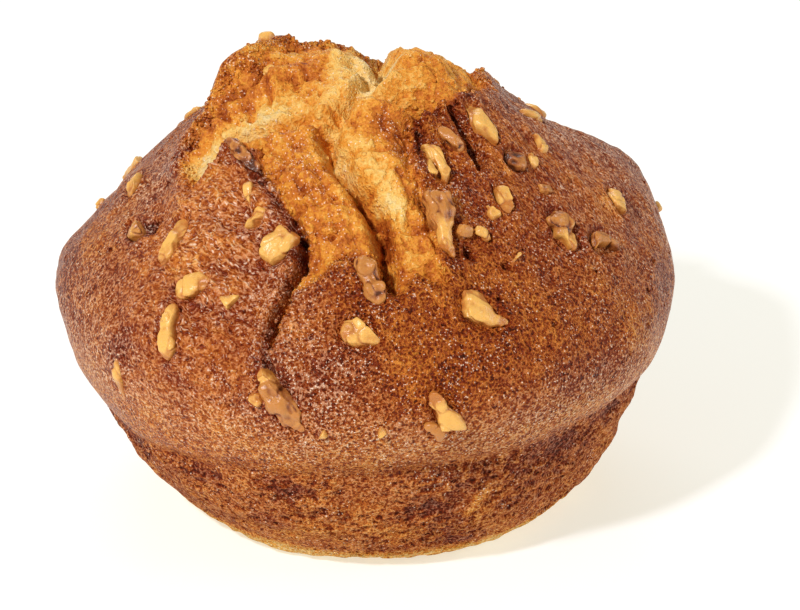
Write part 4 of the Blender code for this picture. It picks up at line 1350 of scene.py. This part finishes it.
def crust_material():
    """Glistening brown crust with painted glints and sheen, torn golden crumb and the matte side, from the
    cake's attributes.
    """
    material, tree, shader, vector = new_material("Baked crust")
    names = ("bake", "torn", "side", "streaked", "glisten", "dusty")
    bake, torn, side, streaked, glisten, dusty = (attribute(tree, name) for name in names)
    group = fine_grain_group()
    plain = place_group(tree, group, Pits=scaled(tree, torn, -0.8, 1.0), Lift=glisten, Vector=vector)
    rows = place_group(tree, group, Pits=0.6, Lift=glisten, Vector=streak_coordinates(tree))
    drawn = maths(tree, "MULTIPLY", streaked, 0.8, clamp=True)
    texture, glint = (blend(tree, plain[name], rows[name], drawn) for name in ("Grain", "Glint"))
    texture = maths(tree, "MULTIPLY", texture, scaled(tree, torn, -0.65, 1.0))
    soft = maths(tree, "MULTIPLY", centred(tree, vector, SOFT_CRUMB_GRAIN), torn)
    texture = scaled(tree, soft, 3.5, texture)
    # the grain's hollows and pits darker: painted shade
    bake = scaled(tree, maths(tree, "MINIMUM", texture, 1.0), -0.115, bake)
    tone = place_group(tree, baked_tone_group(), Bake=bake, Mottle=0.45, Vector=vector)["Color"]
    # paler on the raised grain and in glints: painted sheen and painted glints, over the paler crust's own
    # tone
    pale = maths(tree, "MULTIPLY", scaled(tree, texture, 0.19, 0.05, clamp=True), dusty)
    pale = scaled(tree, glint, 0.75, pale, clamp=True)
    rough = scaled(tree, side, 0.3, scaled(tree, glisten, -0.12, 0.30), clamp=True)
    height = scaled(tree, texture, 0.15, maths(tree, "MULTIPLY", soft, 0.25))
    changing = {
        "Base Color": blend_colours(tree, tone, PALE_SHEEN_AND_GLINT_TONE, pale),
        "Roughness": rough,
        "Normal": bump(tree, height),
    }
    feed(tree, shader, changing | CRUST_LOOK)
    arrange(tree)
    return material


def kernel_material():
    """Pale cut flesh, paler on top and darker at its foot and in its folds, partly toasting and partly
    painted light and shade, under shiny brown skin where a piece keeps it.
    """
    material, tree, shader, vector = new_material("Walnut kernel")
    settings = bpy.context.scene.walnut_cake
    skin, fold, top, burnt = (attribute(tree, name) for name in ("skin", "fold", "top", "burnt"))
    large, fine = (noise(tree, vector, grain) for grain in (LARGE_KERNEL_GRAIN, FINE_KERNEL_GRAIN))
    cover = scaled(tree, weighted(tree, -0.8, (skin, 1.0), (large, 1.4)), 4.0, -1.2, clamp=True)
    # paler on the top and ridges, darker low down and in creases: painted light and shade as well as toasting
    paleness = weighted(tree, -1.0, (large, 1.5), (fine, 0.4), (fold, 0.5), (top, 0.9))
    flesh = colour_ramp(tree, paleness, ((settings.toasted_and_shaded_flesh, 0), (settings.pale_flesh, 0.7)))
    # the skin darker in its creases and low down, partly painted shade, and darker where burnt
    shade = weighted(tree, 0.15, (fine, 0.7), (fold, 0.7), (top, 0.25), (burnt, -1.3))
    brown = colour_ramp(tree, shade, ((BURNT_SKIN, 0), (DARK_SKIN, 0.3), (settings.nut_skin, 0.8)))
    changing = {
        "Base Color": blend_colours(tree, flesh, brown, cover),
        "Roughness": scaled(tree, fine, 0.5, 0.08),
        "Normal": bump(tree, maths(tree, "MULTIPLY", fine, 0.14)),
    }
    feed(tree, shader, changing | KERNEL_LOOK)
    arrange(tree)
    return material


def floor_material():
    """A pale, matte table that glows a little, so that its shadow stays light."""
    material, tree, shader, vector = new_material("Pale table")
    clouds = colour_ramp(tree, noise(tree, vector, TABLE_CLOUDS), TABLE_TONES)
    feed(tree, shader, {"Base Color": clouds} | TABLE_LOOK)
    arrange(tree)
    return material


# ---------------------------------------------------------------- pieces

# How close the crust's vertices lie: places down the profile, and their density there
CRUST_DENSITY = ((0, 70, 95, 128, 137, 142, 200), (1.5, 1.4, 1.0, 0.85, 0.6, 0.06, 0.04))
WALNUT_SEED, BIT_SEED = 60, 120


def make_cake(grid, triangles):
    directions, quads = ball(grid)
    bearing = np.arctan2(directions[:, 1], directions[:, 0])
    relief = Relief(cake_rho((1 - directions[:, 2]) / 2, CRUST_DENSITY), bearing)
    fine = relief.fine()
    points = relief.points + relief.normals * (relief.form() + fine)[:, None]
    points[:, 0] += BASE_SHIFT * (1 - ease(points[:, 2] / RIM_HEIGHT))
    points[:, 2] = np.maximum(points[:, 2], 0)
    cake = new_mesh("baked_cake", points, quads)
    add_values(
        cake,
        bake=relief.bake(fine),
        torn=relief.torn * relief.on_dome,
        side=relief.side_share(),
        streaked=relief.streaked(),
        crumble=relief.crumble(),
        dusty=relief.dusty(),
        glisten=relief.glisten(),
    )
    places = np.stack([relief.u, relief.v, 0 * relief.u], 1) * MM
    chart = cake.data.attributes.new("chart", "FLOAT_VECTOR", "POINT")
    chart.data.foreach_set("vector", places.astype(np.float32).ravel())
    if triangles < 2 * len(quads):
        thin = cake.modifiers.new("thin", "DECIMATE")
        thin.ratio = triangles / (2 * len(quads))
        applied(cake)
    cake.data.materials.append(crust_material())
    return cake


def make_kernel(name, place, size, bearing, spine, seed, skin, grid, sink):
    """A walnut piece let into the crust at a chart place."""
    directions, faces = ball(grid)
    form, values = kernel_form(directions, size, spine, seed, skin)
    point, right, back, outward = on_chart(*place)
    turn = Matrix.Rotation(math.radians(bearing), 3, "Z")
    axes = np.array(Matrix((right, back, outward)).transposed() @ turn)
    middle = np.array(point + outward * size[2] * (0.5 - sink))
    kernel = new_mesh(name, form @ axes.T + middle, faces)
    add_values(kernel, **values)
    return kernel


def make_walnut(index, grid, material):
    u, v, length, width, height, bearing, spine, skin = WALNUTS[index]
    name, size = f"walnut_kernel_{index + 1:02d}", (length, width, height)
    kernel = make_kernel(name, (u, v), size, bearing, spine, WALNUT_SEED + index, skin, grid, WALNUT_SINK)
    kernel.data.materials.append(material)
    return kernel


def make_bits(grid, material):
    """The small walnut bits, joined into one piece."""
    bits = []
    for index, (u, v, length, width, bearing, spine, skin) in enumerate(BITS):
        name, size = f"bit_{index}", (length, width, BIT_HEIGHT)
        bits.append(make_kernel(name, (u, v), size, bearing, spine, BIT_SEED + index, skin, grid, BIT_SINK))
    with bpy.context.temp_override(active_object=bits[0], selected_editable_objects=bits):
        bpy.ops.object.join()
    bits[0].name = "walnut_bits"
    bits[0].data.materials.append(material)
    return bits[0]


# What the crumbs' tree asks for: (name, kind, default), its lengths in metres
CRUMB_INPUTS = (
    ("Geometry", "NodeSocketGeometry", None),
    ("Crumbs to the square metre", "NodeSocketFloat", 2.0e6),
    ("Smallest", "NodeSocketFloat", 0.0005),
    ("Largest", "NodeSocketFloat", 0.0012),
    ("Lumpiness", "NodeSocketFloat", 0.0007),
    ("Seed", "NodeSocketInt", 7),
)
CRUMB_LUMPS_TO_THE_METRE = 900
SQUARE_MILLIMETRES = 1e6


def crumb_tree(material):
    """Geometry nodes that scatter lumpy crumbs where the cake's crumble attribute is high."""
    tree = bpy.data.node_groups.new("Scattered crumbs", "GeometryNodeTree")
    tree.is_modifier = True
    tree.interface.new_socket(name="Geometry", in_out="OUTPUT", socket_type="NodeSocketGeometry")
    given = new_inputs(tree, CRUMB_INPUTS)

    def add(kind, output, inputs, **settings):
        return new_node(tree, kind, inputs, **settings).outputs[output]

    crumble = add("GeometryNodeInputNamedAttribute", "Attribute", {"Name": "crumble"}, data_type="FLOAT")
    density = maths(tree, "MULTIPLY", crumble, given["Crumbs to the square metre"])
    spread = {"Mesh": given["Geometry"], "Density": density, "Seed": given["Seed"]}
    points = add("GeometryNodeDistributePointsOnFaces", "Points", spread)
    cube = add("GeometryNodeMeshCube", "Mesh", {"Size": (1, 1, 1)})
    blob = add("GeometryNodeSubdivisionSurface", "Mesh", {"Mesh": cube})
    widths = {2: given["Smallest"], 3: given["Largest"], "Seed": given["Seed"]}
    size = add("FunctionNodeRandomValue", 1, widths, data_type="FLOAT")
    turns = {1: (math.tau, math.tau, math.tau), "Seed": given["Seed"]}
    turn = add("FunctionNodeRandomValue", "Value", turns, data_type="FLOAT_VECTOR")
    placed = {"Points": points, "Instance": blob, "Rotation": turn, "Scale": size}
    crumbs = add("GeometryNodeInstanceOnPoints", "Instances", placed)
    crumbs = add("GeometryNodeRealizeInstances", "Geometry", {"Geometry": crumbs})
    lumpy = add("ShaderNodeTexNoise", "Color", {"Scale": CRUMB_LUMPS_TO_THE_METRE})
    push = add("ShaderNodeVectorMath", "Vector", {0: lumpy, 1: (0.5, 0.5, 0.5)}, operation="SUBTRACT")
    push = add("ShaderNodeVectorMath", "Vector", {0: push, "Scale": given["Lumpiness"]}, operation="SCALE")
    crumbs = add("GeometryNodeSetPosition", "Geometry", {"Geometry": crumbs, "Offset": push})
    crumbs = add("GeometryNodeSetShadeSmooth", "Geometry", {"Geometry": crumbs})
    crumbs = add("GeometryNodeSetMaterial", "Geometry", {"Geometry": crumbs, "Material": material})
    new_node(tree, "NodeGroupOutput", {"Geometry": crumbs})
    arrange(tree)
    return tree


def make_crumbs(settings):
    """Crumbs along the torn edges, scattered over the baked cake."""
    cake = bpy.data.objects["baked_cake"]
    crumbs = in_scene("torn_crumbs", cake.data.copy())
    tree = crumb_tree(cake.data.materials[0])
    scatter = crumbs.modifiers.new("scatter", "NODES")
    scatter.node_group = tree
    chosen = {
        "Crumbs to the square metre": settings.crumbs * SQUARE_MILLIMETRES,
        "Smallest": settings.crumb_smallest,
        "Largest": settings.crumb_largest,
        "Seed": settings.crumb_seed,
    }
    for socket in tree.interface.items_tree:
        if socket.in_out == "INPUT" and socket.name in chosen:
            scatter[socket.identifier] = chosen[socket.name]
    return applied(crumbs)


# ---------------------------------------------------------------- settings, operators and panel


def tone(name, description, default):
    """A colour that the panel shows."""
    return bpy.props.FloatVectorProperty(
        name=name, description=description, default=default, subtype="COLOR", size=3, min=0, max=1
    )


class CakeSettings(bpy.types.PropertyGroup):
    grid: bpy.props.IntProperty(
        name="Crust grid",
        description="Cells along each side of the crust's cube grid",
        default=190,
        min=24,
        max=300,
    )
    triangles: bpy.props.IntProperty(
        name="Crust triangles",
        description="Triangles that the crust is thinned to",
        default=196000,
        min=4000,
    )
    walnut_grid: bpy.props.IntProperty(
        name="Walnut grid",
        description="Cells along each side of a walnut's cube grid",
        default=28,
        min=4,
        max=40,
    )
    crumbs: bpy.props.FloatProperty(
        name="Crumbs",
        description="Crumbs to the square millimetre where the crust is most torn",
        default=2.0,
        min=0,
    )
    crumb_smallest: bpy.props.FloatProperty(
        name="Smallest crumb",
        description="Width of the smallest crumbs",
        default=0.0005,
        unit="LENGTH",
        min=0,
    )
    crumb_largest: bpy.props.FloatProperty(
        name="Largest crumb",
        description="Width of the largest crumbs",
        default=0.0012,
        unit="LENGTH",
        min=0,
    )
    crumb_seed: bpy.props.IntProperty(
        name="Crumb seed",
        description="Another number scatters them anew",
        default=7,
    )
    raw_crumb: tone("Raw crumb", "Palest crumb in the cracks", (0.82, 0.60, 0.27))
    yellow_crumb: tone("Yellow crumb", "Torn crumb", (0.84, 0.50, 0.13))
    golden: tone("Golden", "Crumb browned golden", (0.74, 0.29, 0.035))
    amber: tone("Amber", "Light crust", (0.55, 0.155, 0.021))
    brown_crust: tone("Brown crust", "The common brown of the crust", (0.32, 0.066, 0.0085))
    # the pits and folds reach it partly through painted shade
    dark_crust: tone("Dark crust", "Pits and dark patches of the crust", (0.19, 0.022, 0.003))
    burnt: tone("Burnt", "Burnt edges", (0.06, 0.010, 0.003))
    pale_flesh: tone("Pale flesh", "Cut walnut", (0.80, 0.43, 0.10))
    # its darker sides and folds are partly painted shade
    toasted_and_shaded_flesh: tone("Toasted flesh", "Sides and folds of the walnut", (0.50, 0.17, 0.03))
    nut_skin: tone("Walnut skin", "Thin brown skin of the walnut", (0.52, 0.20, 0.042))


class StageSettings(bpy.types.PropertyGroup):
    floor_size: bpy.props.FloatProperty(
        name="Floor size", description="Side of the pale floor", default=6.0, unit="LENGTH", min=1
    )
    world_strength: bpy.props.FloatProperty(
        name="Room light", description="Strength of the white room light", default=0.30, min=0
    )
    key_power: bpy.props.FloatProperty(
        name="Key light", description="Power of the soft key light in watts", default=6.0, min=0, unit="POWER"
    )


class WALNUTCAKE_OT_cake(bpy.types.Operator):
    """Makes the cake's crust and torn crumb in place of its solid"""

    bl_idname = "walnutcake.cake"
    bl_label = "Bake the cake"

    def execute(self, context):
        settings = context.scene.walnut_cake
        grid = settings.grid
        cake = make_cake(grid, settings.triangles)
        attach(cake, "root")
        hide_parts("cake")
        return {"FINISHED"}


class WALNUTCAKE_OT_crumbs(bpy.types.Operator):
    """Scatters crumbs over the cake's torn edges"""

    bl_idname = "walnutcake.crumbs"
    bl_label = "Scatter the crumbs"

    def execute(self, context):
        crumbs = make_crumbs(context.scene.walnut_cake)
        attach(crumbs, "root")
        return {"FINISHED"}


class WALNUTCAKE_OT_walnuts(bpy.types.Operator):
    """Makes the walnut pieces and bits in place of their solids"""

    bl_idname = "walnutcake.walnuts"
    bl_label = "Press in the walnuts"

    def execute(self, context):
        settings = context.scene.walnut_cake
        material = kernel_material()
        for index in range(len(WALNUTS)):
            walnut = make_walnut(index, settings.walnut_grid, material)
            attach(walnut, "root")
            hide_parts(f"walnut_{index + 1:02d}")
        bits = make_bits(max(4, settings.walnut_grid // 2), material)
        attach(bits, "root")
        return {"FINISHED"}


class WALNUTCAKE_OT_stage(bpy.types.Operator):
    """Makes the pale floor, the soft light and the camera"""

    bl_idname = "walnutcake.stage"
    bl_label = "Set the stage"

    def execute(self, context):
        settings = context.scene.walnut_stage
        make_floor(settings.floor_size)
        make_light(settings)
        make_camera()
        return {"FINISHED"}


def make_floor(size):
    half = size / 2 / MM
    corners = np.array([(-half, -half, 0), (half, -half, 0), (half, half, 0), (-half, half, 0)], float)
    floor = new_mesh("pale_table", corners, np.array([(0, 1, 2, 3)]))
    floor.data.materials.append(floor_material())


# Soft white lights: (name, place, width, height, share of the key light's power), in metres
LIGHTS = (
    ("Key light", (-0.35, -0.53, 0.63), 0.07, 0.07, 1.0),
    ("Back light", (-0.1, 0.75, 0.65), 0.6, 0.3, 0.45),
    ("Side light", (0.80, -0.15, 0.35), 0.4, 0.4, 0.35),
)
LIGHT_TARGET = (0, 0, 0.05)


def look_along(holder, direction):
    holder.rotation_euler = direction.to_track_quat("-Z", "Y").to_euler()


def add_light(name, place, width, height, power):
    light = bpy.data.lights.new(name, "AREA")
    light.shape = "RECTANGLE"
    light.size, light.size_y = width, height
    light.energy = power
    holder = in_scene(name, light)
    holder.location = place
    look_along(holder, Vector(LIGHT_TARGET) - Vector(place))


def make_light(settings):
    """The white room and the lights at the stage."""
    world = bpy.data.worlds.new("White room")
    bpy.context.scene.world = world
    world.use_nodes = True
    background = world.node_tree.nodes["Background"]
    background.inputs["Color"].default_value = (1, 1, 1, 1)
    background.inputs["Strength"].default_value = settings.world_strength
    for name, place, width, height, share in LIGHTS:
        add_light(name, place, width, height, settings.key_power * share)
    bpy.context.scene.view_settings.view_transform = "Standard"


# The photograph's view: the camera's elevation in degrees, its distance and target in metres, and its
# lens and sensor in millimetres
CAMERA_ELEVATION = 25.5
CAMERA_DISTANCE = 0.65
CAMERA_TARGET = (0.0070, 0.0, 0.0388)
CAMERA_LENS, CAMERA_SENSOR = 136.8, 36
CAMERA_CLIP = (0.01, 50)


def make_camera():
    """The camera at the photograph's viewing angle."""
    camera = bpy.data.cameras.new("Camera")
    camera.lens = CAMERA_LENS
    camera.sensor_width = CAMERA_SENSOR
    camera.clip_start, camera.clip_end = CAMERA_CLIP
    holder = in_scene("Camera", camera)
    e = math.radians(CAMERA_ELEVATION)
    forward = Vector((0, math.cos(e), -math.sin(e)))
    holder.location = Vector(CAMERA_TARGET) - forward * CAMERA_DISTANCE
    look_along(holder, forward)
    bpy.context.scene.camera = holder


CAKE_SIZES = ("grid", "triangles", "walnut_grid", "crumbs", "crumb_smallest", "crumb_largest", "crumb_seed")
CAKE_TONES = tuple(tone for tone, _place in TONE_PLACES)
NUT_TONES = ("pale_flesh", "toasted_and_shaded_flesh", "nut_skin")
STAGE_SIZES = ("floor_size", "world_strength", "key_power")


class WALNUTCAKE_PT_panel(bpy.types.Panel):
    """Lists the settings and makers of the walnut cake"""

    bl_idname = "WALNUTCAKE_PT_panel"
    bl_label = "Walnut cake"
    bl_space_type = "VIEW_3D"
    bl_region_type = "UI"
    bl_category = "Walnut cake"

    def draw(self, context):
        for group, names in (
            (context.scene.walnut_cake, CAKE_SIZES + CAKE_TONES + NUT_TONES),
            (context.scene.walnut_stage, STAGE_SIZES),
        ):
            box = self.layout.box()
            for name in names:
                box.prop(group, name)
        makers = (WALNUTCAKE_OT_cake, WALNUTCAKE_OT_crumbs, WALNUTCAKE_OT_walnuts, WALNUTCAKE_OT_stage)
        for operator in makers:
            self.layout.operator(operator.bl_idname)


CLASSES = (
    CakeSettings,
    StageSettings,
    WALNUTCAKE_OT_cake,
    WALNUTCAKE_OT_crumbs,
    WALNUTCAKE_OT_walnuts,
    WALNUTCAKE_OT_stage,
    WALNUTCAKE_PT_panel,
)


def register():
    for cls in CLASSES:
        bpy.utils.register_class(cls)
    bpy.types.Scene.walnut_cake = bpy.props.PointerProperty(type=CakeSettings)
    bpy.types.Scene.walnut_stage = bpy.props.PointerProperty(type=StageSettings)


def unregister():
    del bpy.types.Scene.walnut_stage
    del bpy.types.Scene.walnut_cake
    for cls in reversed(CLASSES):
        bpy.utils.unregister_class(cls)


def main():
    register()
    bpy.ops.walnutcake.stage()
    bpy.ops.walnutcake.cake()
    bpy.ops.walnutcake.crumbs()
    bpy.ops.walnutcake.walnuts()


if __name__ == "__main__":
    main()
